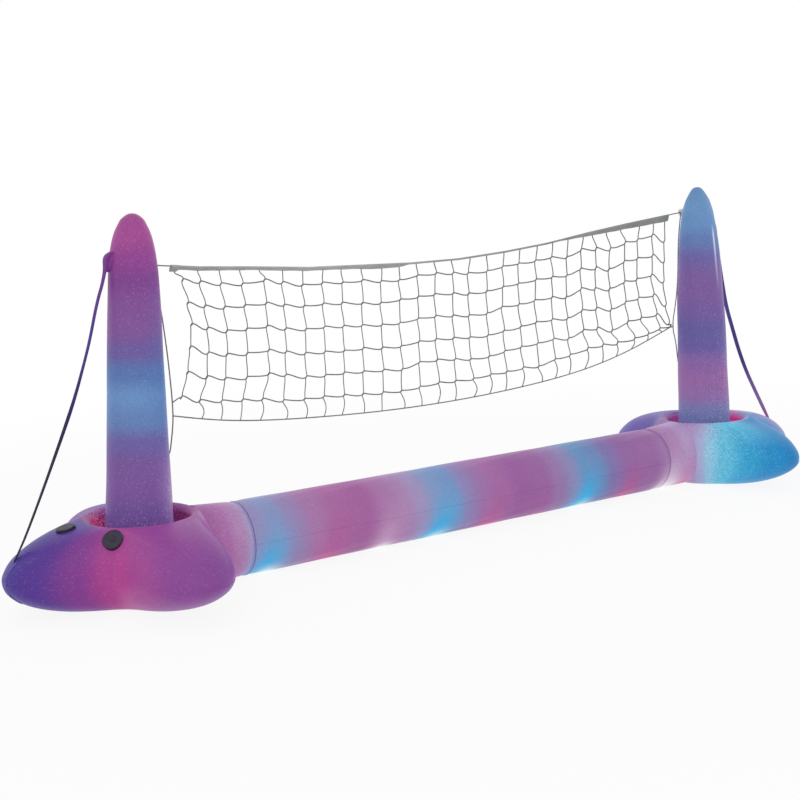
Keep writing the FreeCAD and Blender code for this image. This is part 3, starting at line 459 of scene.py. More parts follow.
class PostSettings(bpy.types.PropertyGroup):
    left_top: metres("Left top", 0.842, "Height of the left post's tip")
    right_top: metres("Right top", 0.856, "Height of the right post's tip")
    lean: FloatProperty(name="Lean", description="How far a post leans to the net",
                        default=math.radians(2.16), subtype="ANGLE")


class NetSettings(bpy.types.PropertyGroup):
    columns: IntProperty(name="Columns", description="Meshes along the net", default=28)
    row: metres("Row", 0.056, "Height of one row of meshes")
    cord: metres("Cord", 0.0029, "Thickness of the mesh cord")
    knot: metres("Knot", 0.0026, "Half the height of one knot")
    rope: metres("Rope", 0.0034, "Thickness of the edge ropes")
    depth: metres("Net plane", 0.048, "How far behind the posts' middle the net hangs")
    grey: FloatVectorProperty(name="Cord colour", description="Colour of net and cords", subtype="COLOR",
                              default=tuple(linear("8a8884")))


class StageSettings(bpy.types.PropertyGroup):
    lens: FloatProperty(name="Lens", description="Focal length for a 36 mm frame", default=59.756)
    daylight: FloatProperty(name="Daylight", description="Strength of the even studio light", default=0.70)
    softbox: FloatProperty(name="Softbox", description="Power of the large lamp", default=26.0)
    fade: FloatProperty(name="Floor white", default=0.90,
                        description="Share of the floor's white that is plain to the camera")


class NetSetSettings(bpy.types.PropertyGroup):
    film: PointerProperty(type=FilmSettings)
    tube: PointerProperty(type=TubeSettings)
    foot: PointerProperty(type=FootSettings)
    post: PointerProperty(type=PostSettings)
    net: PointerProperty(type=NetSettings)
    stage: PointerProperty(type=StageSettings)


def settings():
    """The sizes and colours of this scene's float net."""
    return bpy.context.scene.float_net


# Colour of the lit film, by place

# Painted light of the lamps inside: place of each lamp, colour and strength of its painted fan of light up
# the skin, colour, strength and reach of its painted bright spot
LAMPS = ((-0.616, "16bcf2", 1.0, "f4fffa", 0.95, 0.030), (-0.453, "c84c96", 0.45, "dc5c9c", 0.75, 0.026),
         (-0.290, "f0d4ea", 0.38, "ffffff", 0.95, 0.026), (-0.127, "16bcf2", 1.0, "e0fff4", 0.90, 0.028),
         (0.036, "c84c92", 0.45, "d8589a", 0.75, 0.030), (0.199, "b45aa0", 0.30, "d060a4", 0.60, 0.020),
         (0.362, "16bcf2", 1.0, "e0fff4", 0.90, 0.028), (0.525, "cc4a8e", 0.50, "d45096", 0.80, 0.028),
         (0.688, "f2d8ee", 0.55, "ffffff", 1.00, 0.044), (0.762, "d84c90", 0.35, "de4478", 0.85, 0.022))
TUBE_BANDS = ((-0.664, "9b90be"), (-0.600, "8c96c3"), (-0.550, "9b86b6"), (-0.500, "aa79ad"),
              (-0.430, "aa69a3"), (-0.350, "a563a0"), (-0.290, "ab76ac"), (-0.240, "ab84b4"),
              (-0.195, "a294c1"), (-0.140, "829bc8"), (-0.095, "7896c7"), (-0.050, "9184b8"),
              (0.000, "a074ad"), (0.050, "a46ba6"), (0.120, "9c61a1"), (0.200, "9a66a1"),
              (0.250, "9a78ad"), (0.300, "8f8aba"), (0.350, "6a92c2"), (0.400, "7189bb"),
              (0.450, "8474ad"), (0.510, "9468a5"), (0.600, "9a69a4"), (0.664, "a174a9"))
FOOT_BANDS = {
    "left": ((0, "4a3890"), (15, "523a8f"), (30, "6a3f92"), (60, "7a4698"), (90, "66449a"),
             (120, "7a4c9c"), (150, "8a4d96"), (180, "92509a"), (210, "904c98"), (240, "8c4a98"),
             (262, "844896"), (281, "8c4a97"), (295, "a44a95"), (307, "b44894"), (319, "aa4492"),
             (332, "843e92"), (346, "583893"), (360, "4a3890")),
    "right": ((0, "b08cc0"), (20, "9c7cc0"), (45, "7d6cba"), (90, "685aae"), (130, "6e60aa"),
              (160, "9874ac"), (180, "a97fb2"), (205, "b49cc8"), (217, "adb4da"), (227, "97d0ea"),
              (239, "66c8e6"), (250, "38a8d8"), (260, "2490cc"), (272, "1480c0"), (300, "1082c4"),
              (325, "2888c4"), (342, "808ac0"), (360, "b08cc0")),
}
POST_BANDS = {
    "left": ((0.112, "67549a"), (0.190, "6e5198"), (0.250, "7d579d"), (0.300, "7c589d"), (0.350, "6f62a4"),
             (0.400, "6785bb"), (0.450, "6c92c6"), (0.500, "5c7ab4"), (0.550, "705ea1"), (0.600, "86579b"),
             (0.650, "865298"), (0.700, "824590"), (0.750, "954593"), (0.790, "a44c93"), (0.844, "a24c92")),
    "right": ((0.112, "6676b2"), (0.190, "6d77ae"), (0.210, "777ab0"), (0.250, "926fab"), (0.300, "9869a6"),
              (0.350, "8a66a6"), (0.400, "6b5ea3"), (0.450, "685f9f"), (0.500, "785ea2"), (0.550, "7f5e9f"),
              (0.600, "7e60a1"), (0.650, "7166a8"), (0.700, "667eb7"), (0.750, "6a92c5"), (0.790, "6d97c7"),
              (0.844, "6890be")),
}


# Spots of colour on a foot: colour, strength, degrees round the post, width in degrees, near the crown only
FOOT_SPOTS = {
    "left": (("a96ca6", 0.80, 195, 42, True), ("c79ccc", 0.25, 217, 6, False),
             ("9a4696", 0.75, 285, 42, True)),
    "right": (("a98cbd", 0.80, 195, 50, True), ("8f8fc4", 0.40, 335, 20, True),
              ("60d2ee", 0.70, 250, 18, True)),
}
# More glitter on a foot: strength, degrees round the post, width in degrees, near the crown only
FOOT_GLITTER = {"left": ((0.5, 195, 42, True), (0.5, 217, 6, False)),
                "right": ((0.5, 195, 50, True), (0.75, 240, 18, False))}
# The neck's upper and lower colours from the weld ring to the foot
NECK_BANDS = {
    "left": (((0, "a99cc6"), (0.35, "b488b6"), (0.7, "ad70ab"), (1, "a3659f")),
             ((0, "b193c0"), (0.4, "b673ab"), (1, "9c5599"))),
    "right": (((0, "a97db0"), (0.4, "ae86b6"), (0.75, "b598c6"), (1, "ae98c6")),
              ((0, "c8a8cc"), (0.4, "b98fc0"), (0.8, "c092c2"), (1, "b4a0cc"))),
}


def lamp_light(points, paint, height=0.085, width=0.040, spread=3.0, lean=0.25, shift=-0.020, flat=0.7):
    """Paint the light of the string's lamps onto the skin. A painted fan of light widens and leans as it
    fades up the skin, and a low flat painted spot shines where the lamp touches it; both fade as bells."""
    x, z = points[..., 0], np.maximum(points[..., 2], 0)
    for place, fan, share, spot, glare, reach in LAMPS:
        beside = x - place - (lean * z + shift)
        paint = blended(paint, fan, share * bump_of(beside, width * (0.85 + spread * z)) * bump_of(z, height))
        paint = blended(paint, spot, glare * bump_of(x - place, reach) * bump_of(z, reach * flat))
    return paint


def tube_tint(points, lean=0.10):
    """Bands along the tube that lean with height, and the lamps' painted light."""
    height = points[..., 2] - settings().tube.radius
    return lamp_light(points, bands(points[..., 0] + lean * height, TUBE_BANDS))


def foot_tint(word, azimuth, points, start=0.130, rise=0.054, least=0.25):
    """Bands round the foot with spots of colour and of glitter, some of them only towards the crown."""
    degrees = np.degrees(np.mod(azimuth, TURN))
    up = np.clip((points[..., 2] - start) / rise, 0, 1)

    def weight(strength, middle, width, high):
        """A bell round one direction, which may fade out below the crown."""
        return strength * bump_of(degrees - middle, width) * (up if high else 1)

    paint = bands(degrees, FOOT_BANDS[word])
    for colour, *spot in FOOT_SPOTS[word]:
        paint = blended(paint, colour, weight(*spot))
    glitter = least + sum(weight(*spot) for spot in FOOT_GLITTER[word])
    return paint, np.clip(glitter, 0, 1)


def neck_tint(word, points, length=0.10, height=0.12):
    """The neck takes the tube's colour at the ring and the foot's where it meets it."""
    along = np.clip((np.abs(points[..., 0]) - settings().tube.half_length) / length, 0, 1)
    high, low = (bands(along, stops) for stops in NECK_BANDS[word])
    share = np.clip(points[..., 2] / height, 0, 1)[..., None]
    return lamp_light(points, low * (1 - share) + high * share)


# Shade on a post's right-hand edge: colour, strength, height of its middle and half its height
POST_SHADES = {"left": ("3f6cb4", 0.5, 0.47, 0.16), "right": ("9a86bb", 0.4, 0.56, 0.20)}
# Height of the glittery belt just above each foot
POST_BELTS = {"left": 0.16, "right": 0.17}


def post_tint(word, turn, points, lean=0.05, edge_width=0.07, belt=0.05):
    """Bands up the post and a shade on its right-hand edge. The left has a pale strip at its foot, more
    glitter with a painted highlight; the right has a painted highlight streak at its top and glitter below
    it."""
    z = points[..., 2]
    aside = points[..., 0] - SIDES[word] * settings().foot.centre
    degrees = np.degrees(np.mod(turn, TURN))
    paint = bands(z + lean * aside, POST_BANDS[word])
    colour, strength, middle, height = POST_SHADES[word]
    edge = np.clip(aside / edge_width, 0, 1) * bump_of(z - middle, height)
    paint = blended(paint, colour, strength * edge)
    if word == "left":
        # Painted highlight: a pale strip low on the left post, with more glitter there.
        strip = bump_of(degrees - 322, 24) * bump_of(z - 0.235, 0.085)
        paint = blended(paint, "b79ace", 0.55 * strip)
    else:
        # Painted highlight: a thin pale streak high on the right post, strongest towards its top.
        ends = np.clip((z - 0.56) / 0.14, 0, 1) * np.clip((0.750 - z) / 0.03, 0, 1)
        paint = blended(paint, "eef0fa", 0.85 * bump_of(degrees - 274, 3.2) * ends)
        strip = bump_of(degrees - 285, 40) * np.clip((0.56 - z) / 0.25, 0, 1)
    return paint, np.clip(0.30 + 0.70 * strip + 0.5 * bump_of(z - POST_BELTS[word], belt), 0, 1)


def film_finish(name, mottle=0.20, roughness=0.42):
    """Translucent vinyl lit from inside: the painted light times mottling, soft clouds and each glitter
    cell's own shade, with a pale flake in the few cells whose second number is highest."""
    film = settings().film
    finish = Finish(name, roughness=roughness, specular_ior_level=0.15, coat_weight=0.05, coat_roughness=0.25)
    tint, glitter = finish.paint()
    glitter = glitter * film.speckle
    chance, pick = finish.cells(film.flake)
    fine = finish.noise(0.0030, detail=3.0, roughness=0.6)
    cloud = finish.noise(0.050)
    shade = (fine - 0.5) * mottle + (cloud - 0.5) * 0.12 + (chance - 0.5) * glitter * 0.52 + 1.0
    flakes = (pick > 0.955) * glitter * 0.27
    shown = finish.mixed(flakes, finish.shaded(tint, shade), (0.90, 0.78, 0.95, 1))
    finish.lit(shown, film.glow)
    finish.relief(finish.noise(0.012), 0.0004, 0.4)
    return finish.material


# The foot's formula


def foot_plan(azimuth, side):
    """Plan radius at the mid seam: lobes and waists alternate as the square of a cosine."""
    f = settings().foot
    turns = np.round(azimuth / (math.pi / 2)).astype(int) % 4
    front = f.left_front if side < 0 else f.right_front
    reach = np.take([f.outer_reach, f.back_reach, f.inner_reach, front], turns)
    mean, swing = (f.outer_waist + f.inner_waist) / 2, (f.outer_waist - f.inner_waist) / math.sqrt(2)
    waist = mean + swing * np.cos(azimuth)
    return waist + (reach - waist) * np.cos(2 * azimuth) ** 2


# Exponents of the foot's section, above and below the seam
CROWN_FULLNESS = 1.13
SOLE_FULLNESS = 1.26


def fullness(azimuth, top):
    """Exponent of the section: the crown is fuller in front, the sole fuller towards the outer lobe."""
    outwards = np.maximum(np.cos(azimuth), 0) ** 2
    front = np.maximum(-np.sin(azimuth), 0) ** 2
    return np.where(top, CROWN_FULLNESS + 0.02 * outwards - 0.08 * front,
                    SOLE_FULLNESS - 0.31 * outwards - 0.03 * front)


def foot_section(azimuth, rise, side, extra=0.0):
    """Radius and height on the skin: a rounded section raised to a fullness, crest to seam to sole."""
    f = settings().foot
    middle = settings().tube.radius
    top = rise <= math.pi / 2 + 1e-9
    full = fullness(azimuth, top)
    core = np.where(top, f.crest_radius, f.sole_radius)
    height = np.where(top, f.height - middle, -middle)
    out, up = np.abs(np.sin(rise)), np.abs(np.cos(rise))
    radius = core + (foot_plan(azimuth, side) + extra - core) * out ** full
    return radius, middle + height * up ** full


def foot_relief(azimuth, rise, seed):
    """How far the skin stands out of its smooth form: the weld's dip and its puckers."""
    film = settings().film
    away = np.abs(rise - math.pi / 2)
    tips = 0.35 + 0.9 * np.cos(2 * azimuth) ** 2
    dip = -film.weld_dip * np.exp(-(away / 0.035) ** 2)
    fold = film.pucker * tips * gathers(azimuth, seed) * np.exp(-away / 0.20)
    return dip + fold + 0.0016 * ripple(azimuth + 0.6 * away, (7, 11, 16), seed + 5) * np.sin(rise) ** 2


def foot_grid(side, seed, rises, columns):
    """Rows of skin points, one for each rise, round the post's axis."""
    azimuth = np.broadcast_to(circle(columns), rises.shape[:1] + (columns,))
    rise = np.broadcast_to(rises, azimuth.shape)
    radius, height = foot_section(azimuth, rise, side, foot_relief(azimuth, rise, seed))
    centre = settings().foot.centre
    points = np.stack([side * (centre + radius * np.cos(azimuth)), radius * np.sin(azimuth), height], -1)
    return azimuth, points


def lip_rise(azimuth, side):
    """The rise at which the crown reaches the well's seam."""
    f = settings().foot
    share = (f.well_radius - f.crest_radius) / (foot_plan(azimuth, side) - f.crest_radius)
    return np.arcsin(share ** (1 / fullness(azimuth, True)))


def neck_rings(side, upper, rows=26, columns=90, steps=500, inner_end=0.095, overlap=14):
    """Half of the flared neck: circles that widen from the weld ring, cut off on each line where it first
    passes the foot's skin or the well, and a little beyond."""
    f, radius = settings().foot, settings().tube.radius
    turn = np.linspace(-math.pi / 2, math.pi / 2, columns)
    if not upper:
        turn = turn + math.pi
    start = f.centre - settings().tube.half_length
    far_radius = f.height / 2
    share = np.linspace(0, 1, steps)[:, None]
    out = start + (inner_end - start) * share
    size = radius + (far_radius - radius) * share
    y, z = size * np.sin(turn), size + size * np.cos(turn)
    azimuth = np.arctan2(y, np.broadcast_to(-out, y.shape))
    reach = np.hypot(y, out)
    rise_up = np.clip((z - radius) / (f.height - radius), 0, 1) ** (1 / CROWN_FULLNESS)
    rise_down = np.clip((radius - z) / radius, 0, 1) ** (1 / SOLE_FULLNESS)
    plan = foot_plan(azimuth, side)
    above = f.crest_radius + (plan - f.crest_radius) * np.sqrt(1 - rise_up ** 2) ** CROWN_FULLNESS
    below = f.sole_radius + (plan - f.sole_radius) * np.sqrt(1 - rise_down ** 2) ** SOLE_FULLNESS
    skin = np.where(z >= radius, above, below)
    hidden = (reach < skin) | ((reach < f.well_radius) & (z > radius))
    last = np.where(hidden.any(0), hidden.argmax(0), steps - 1)
    sunk = np.minimum(last + overlap, steps - 1)
    keep_out = reach[sunk, np.arange(columns)] < f.well_radius
    last = np.where(keep_out & (turn < math.pi / 2 + 0.1), last, sunk)
    places = (np.linspace(0, 1, rows)[:, None] * last[None, :]) / (steps - 1)
    out = start + (inner_end - start) * places
    size = radius + (far_radius - radius) * places
    dip = beside_ring(start - out, np.broadcast_to(turn, out.shape), 41, 0.9)
    y, z = (size + dip) * np.sin(turn), size + (size + dip) * np.cos(turn)
    return above_floor(np.stack([side * (f.centre - out), y, z], -1), 0.0002)


# Operators


class FLOATNET_OT_tube(bpy.types.Operator):
    """Build the float tube's two panels and the weld rings at its ends"""

    bl_idname = "floatnet.tube"
    bl_label = "Float tube"

    def execute(self, context):
        material = film_finish("float_film", mottle=0.12)
        for word, low, seed in (("top", -math.pi / 2, 11), ("base", math.pi / 2, 12)):
            piece = thicken(self.panel(low, low + math.pi, seed).build(f"tube_{word}_skin"))
            dress(piece, material, instead=[f"centre_tube_{word}_panel"])
        material = film_finish("ring_film", mottle=0.10)
        for word, side in SIDES.items():
            piece = self.ring(side).build(f"{word}_ring_band")
            dress(piece, material, instead=[f"{word}_weld_ring"])
        return {"FINISHED"}

    def panel(self, low, high, seed, seam_width=0.0025, seam_fade=0.018, swell=0.0008):
        """Half a cylinder round X, drawn in at its welds, puckered beside them and softly uneven between.
        The rows stand closer towards the rings."""
        film, length, radius = settings().film, settings().tube.half_length, settings().tube.radius
        close = length - np.geomspace(0.0006, 0.14, 40)
        even = np.linspace(-close[-1], close[-1], 150)[1:-1]
        x = np.concatenate([[-length], -close, even, close[::-1], [length]])[:, None]
        turn = np.linspace(low, high, 96)[None, :]
        seam = radius * np.minimum(np.abs(turn - low), np.abs(turn - high))
        along = x / settings().foot.centre * math.pi
        out = beside_ring(length - np.abs(x), turn + 0 * x, seed)
        out = out - film.weld_dip * 0.6 * bump_of(seam, seam_width)
        out = out + 0.6 * film.pucker * gathers(along * 1.7 + 0 * turn, seed + 7) * np.exp(-seam / seam_fade)
        out = out + swell * ripple(along + 2 * turn, (3, 5, 9), seed + 9)
        y, z = -(radius + out) * np.sin(turn), radius + (radius + out) * np.cos(turn)
        points = above_floor(np.stack([x + 0 * turn, y, z], -1))
        return Shell().grid(points, tube_tint(points), glitter=0.22)

    # Section of a weld ring: place over its half width, and height over the tube's skin; and how far in
    # its inner face lies, as a share of the radius
    RING = np.array([(-1.0, -0.0014), (-0.9, -0.0008), (-0.5, 0.0001), (-0.28, 0.0), (0, -0.0003),
                     (0.28, 0.0), (0.5, 0.0001), (0.9, -0.0008), (1.0, -0.0014)])
    INNER = 0.975

    def ring(self, side):
        """A thin band round the tube, its edges rounded off and a dark weld line along its middle."""
        tube = settings().tube
        turn = circle(160)
        place, rise = self.RING.T[:, :, None]
        x = side * tube.half_length + tube.ring_width / 2 * place + 0 * turn
        radius = tube.radius + rise
        points = above_floor(np.stack([x, -radius * np.sin(turn), tube.radius + radius * np.cos(turn)], -1))
        paint = blended(tube_tint(points), "54448a", 0.92 * bump_of(place, 0.30) + 0 * turn)
        inner = points.copy()
        inner[..., 1:] = (inner[..., 1:] - [0, tube.radius]) * self.INNER + [0, tube.radius]
        whole = np.concatenate([points, inner[::-1]])
        tint = np.concatenate([paint, paint[::-1]])
        return Shell().grid(whole, tint, wrap=True, loop=True)


class FLOATNET_OT_feet(bpy.types.Operator):
    """Build the lobed feet: crown, sole and well of each"""

    bl_idname = "floatnet.feet"
    bl_label = "Lobed feet"

    # Colour of the well's wall by degrees round the post. On the left, the dark stops from 70 to 205 degrees
    # are painted shade on the back wall.
    LININGS = {
        "left": ((0, "cf3f74"), (35, "c03a78"), (70, "7a2a70"), (110, "6b3080"), (140, "6b2360"),
                 (175, "6b1a5e"), (205, "82246a"), (290, "a83078"), (330, "c83c74"), (360, "cf3f74")),
        "right": ((0, "d8288c"), (50, "c83080"), (110, "8a3a86"), (150, "b0307c"), (185, "cc307e"),
                  (240, "b2347c"), (300, "c0307e"), (360, "d8288c")),
    }

    # Columns round a foot, and the seed of its wrinkles
    COLUMNS = 560
    SEEDS = {"left": 20, "right": 60}
    # Hole in the left crown under the light pod, where its button goes in
    POD_HOLE = 0.014

    def execute(self, context):
        skin, lining = film_finish("foot_film", mottle=0.18), self.well_finish()
        quarter = math.pi / 2
        azimuth = circle(self.COLUMNS)
        for word, side in SIDES.items():
            upper = quarter + (lip_rise(azimuth, side) - quarter) * np.linspace(0, 1, 44)[:, None] ** 1.15
            lower = (quarter + (quarter - 0.0005) * np.linspace(0, 1, 42) ** 1.1)[:, None]
            for part, panel, rises in (("crown", "top", upper), ("sole", "base", lower)):
                piece = thicken(self.half(word, part == "crown", rises).build(f"{word}_foot_{part}"))
                dress(piece, skin, instead=[f"{word}_foot_{panel}_panel"])
            well = self.well(word, azimuth).build(f"{word}_well_lining")
            dress(well, lining, instead=[f"{word}_foot_well_panel"])
        return {"FINISHED"}

    def half(self, word, top, rises):
        """The skin above or below the seam, and its half of the neck."""
        side = SIDES[word]
        turn, points = foot_grid(side, self.SEEDS[word], rises, self.COLUMNS)
        shell = Shell().grid(above_floor(points), *foot_tint(word, turn, points), wrap=True,
                             caps=(False, not top), flip=(side < 0) == top)
        if top and word == "left":
            shell.cut("pod_cap_turn", self.POD_HOLE)
        neck = neck_rings(side, top)
        return shell.grid(neck, neck_tint(word, neck), glitter=0.4, flip=side > 0)

    def well(self, word, azimuth):
        """The crown's seam, a quarter round of lip, a sloping wall and a floor, puckered at the floor weld.
        Towards the rim the height follows the crown's and the colour the foot's bands."""
        side, f, film = SIDES[word], settings().foot, settings().film
        crown = foot_section(azimuth, lip_rise(azimuth, side), side)[1]
        edge, shoulder = f.well_radius - f.lip_radius, f.height - f.lip_radius
        lip = [(f.well_radius + f.lip_radius * math.cos(a), shoulder + f.lip_radius * math.sin(a))
               for a in np.linspace(math.pi / 2, math.pi, 9)]
        wall = [(edge + (f.floor_radius - edge) * v, shoulder + (f.floor_height - shoulder) * v)
                for v in np.linspace(0.08, 1, 14)]
        floor = [(r, f.floor_height) for r in (0.088, 0.080, 0.070, 0.050, 0.020)]
        outline = np.array(lip + wall + floor)
        radius, height = outline[:, :1] + 0 * azimuth, outline[:, 1:] + 0 * azimuth
        near_rim = np.clip((height - 0.150) / 0.034, 0, 1)
        height = height + (crown - f.height) * near_rim
        depth = np.clip((f.height - height) / (f.height - f.floor_height), 0, 1)
        fold = 3 * film.pucker * gathers(azimuth + 0.25 * depth, 83) * depth * (1 - 0.5 * depth)
        folded = np.arange(len(outline))[:, None] < len(outline) - 4
        radius = radius + np.where(folded, fold, 0)
        x = side * (f.centre + radius * np.cos(azimuth))
        points = np.stack([x, radius * np.sin(azimuth), height], -1)
        degrees = np.degrees(azimuth) + 0 * depth
        deep, rim = bands(degrees, self.LININGS[word]), bands(degrees, FOOT_BANDS[word])
        share = np.clip(depth * 4.0, 0, 1)[..., None]
        paint = rim * (1 - share) + deep * share
        if word == "right":
            # Painted highlight: pale cyan along the right well's near lip, fading with depth.
            paint = blended(paint, "c4ecf6", bump_of(degrees - 262, 36) * np.clip(1 - depth * 9, 0, 1))
        under = points - [0, 0, film.thickness]
        whole = np.concatenate([points, under[::-1]])
        tint = np.concatenate([paint, paint[::-1]])
        # On the left, less glitter where the back wall's painted shade lies.
        calm = 0.85 * bump_of(degrees - 165, 50) if word == "left" else 0.55 + 0 * degrees
        glitter = 1 - np.concatenate([calm, calm[::-1]])
        return Shell().grid(whole, tint, glitter, wrap=True, loop=True, flip=side < 0)

    def well_finish(self):
        """Crinkled glitter film: flakes of red, pink and deep purple over the painted light."""
        film = settings().film
        finish = Finish("well_film", roughness=0.40, specular_ior_level=0.2)
        tint, glitter = finish.paint()
        chance, pick = finish.cells(0.0026)
        coarse = finish.noise(0.010, detail=3.0, roughness=0.7)
        body = finish.shaded(tint, (chance - 0.5) * glitter * 0.55 + 1.0)
        deep = finish.mixed((pick < 0.25) * glitter * 0.45, body, rgba("3c1048"))
        red = finish.mixed((pick > 0.72) * glitter * 0.45, deep, rgba("f0506c"))
        shown = finish.mixed((chance > 0.90) * glitter * 0.45, red, rgba("f8a0c4"))
        finish.lit(shown, film.glow)
        finish.relief(coarse, 0.0020, 0.7)
        return finish.material


class FLOATNET_OT_posts(bpy.types.Operator):
    """Build the two leaning air posts"""

    bl_idname = "floatnet.posts"
    bl_label = "Air posts"

    # Radius by distance below the tip, in millimetres: the left tip is blunt, the right one pointed
    PROFILES = {
        "left": ((0, 0), (1.5, 8.5), (6, 16.6), (15, 26.2), (24, 31), (33, 35.6), (50, 41.8), (64, 45.2),
                 (77, 47.7), (95, 50.2), (115, 52.4), (171, 55.6), (313, 60.6), (341, 61.6), (450, 65.6),
                 (560, 69.6), (642, 73), (690, 74.6), (712, 74), (730.2, 69)),
        "right": ((0, 0), (1.6, 8), (5.5, 13.8), (12, 19), (20.6, 24.6), (34.5, 32.5), (48.4, 37.8),
                  (70.5, 44.2), (98, 48.8), (145, 54.8), (240, 61.8), (341, 66.6), (450, 69.6), (560, 72.2),
                  (650, 74.2), (700, 75), (724, 74), (744.2, 69)),
    }

    # How far the skin bows away from the net by height, in metres and millimetres
    BOWS = {"left": ((0.11, 6.5), (0.25, 4.6), (0.45, 3.2), (0.62, 3.0), (0.74, 1.8), (0.85, 0.3)),
            "right": ((0.11, -0.8), (0.30, -1.5), (0.60, -1.6), (0.74, -2.8), (0.86, -2.8))}

    # Gap between a post and the well's floor, and the seed of the post's wrinkles
    GAP = 0.0003
    SEEDS = {"left": 31, "right": 37}

    def execute(self, context):
        material = film_finish("post_film", mottle=0.24)
        for word, side in SIDES.items():
            piece = self.post(word, side).build(f"{word}_post_cover")
            dress(piece, material, instead=[f"{word}_post_skin"])
        return {"FINISHED"}

    def post(self, word, side):
        """A profile turned round the leaning axis, wrinkled at its base weld and softly uneven above."""
        foot, post = settings().foot, settings().post
        floor = foot.floor_height + self.GAP
        top = post.left_top if word == "left" else post.right_top
        length = (top - floor) / math.cos(post.lean)
        table = np.array(self.PROFILES[word]) / 1000
        table[:, 0] *= length / table[-1, 0]
        arc = np.concatenate([[0], np.cumsum(np.hypot(*np.diff(table, axis=0).T))])
        tip = np.geomspace(0.0015, arc[-1], 60)
        even = np.sort(np.concatenate([tip[tip < 0.1], np.linspace(0.1, arc[-1], 210)]))
        below, radius = self.smooth(even, arc, table[:, 0]), self.smooth(even, arc, table[:, 1])[:, None]
        turn, up = circle(150), (length - below)[:, None] + np.zeros(150)
        # Puckers at the base weld, faint ones 100 mm below the tip, and a slow swell all the way
        seed = self.SEEDS[word]
        shoulder = bump_of(up - length + 0.10, 0.04)
        uneven = 0.0011 * gathers(turn + 0 * up, seed) * np.exp(-up / 0.030)
        uneven = uneven + 0.0005 * gathers(turn + 0 * up, seed + 3) * shoulder
        uneven = uneven + 0.0009 * ripple(turn + 6 * up, (2, 3, 5), seed + 4)
        out = radius + uneven * np.clip(radius / 0.03, 0, 1)
        places, bows = np.array(self.BOWS[word]).T
        x = out * np.cos(turn) + side * np.interp(up + floor, places, bows) / 1000
        c, s = math.cos(post.lean), side * math.sin(post.lean)
        world_x, world_z = side * foot.centre + x * c - up * s, floor + up * c + x * s
        points = above_floor(np.stack([world_x, out * np.sin(turn), world_z], -1), floor)
        return Shell().grid(points, *post_tint(word, turn + 0 * up, points), wrap=True, caps=(True, True),
                            flip=True)

    def smooth(self, places, knots, values):
        """A smooth line through a table: cubic between knots, with slopes from both neighbours."""
        slopes = np.gradient(values, knots)
        step = np.clip(np.searchsorted(knots, places) - 1, 0, len(knots) - 2)
        width = knots[step + 1] - knots[step]
        t = (places - knots[step]) / width
        a, b = values[step], values[step + 1]
        m, n = slopes[step] * width, slopes[step + 1] * width
        return (2 * t ** 3 - 3 * t ** 2 + 1) * a + (t ** 3 - 2 * t ** 2 + t) * m \
            + (-2 * t ** 3 + 3 * t ** 2) * b + (t ** 3 - t ** 2) * n


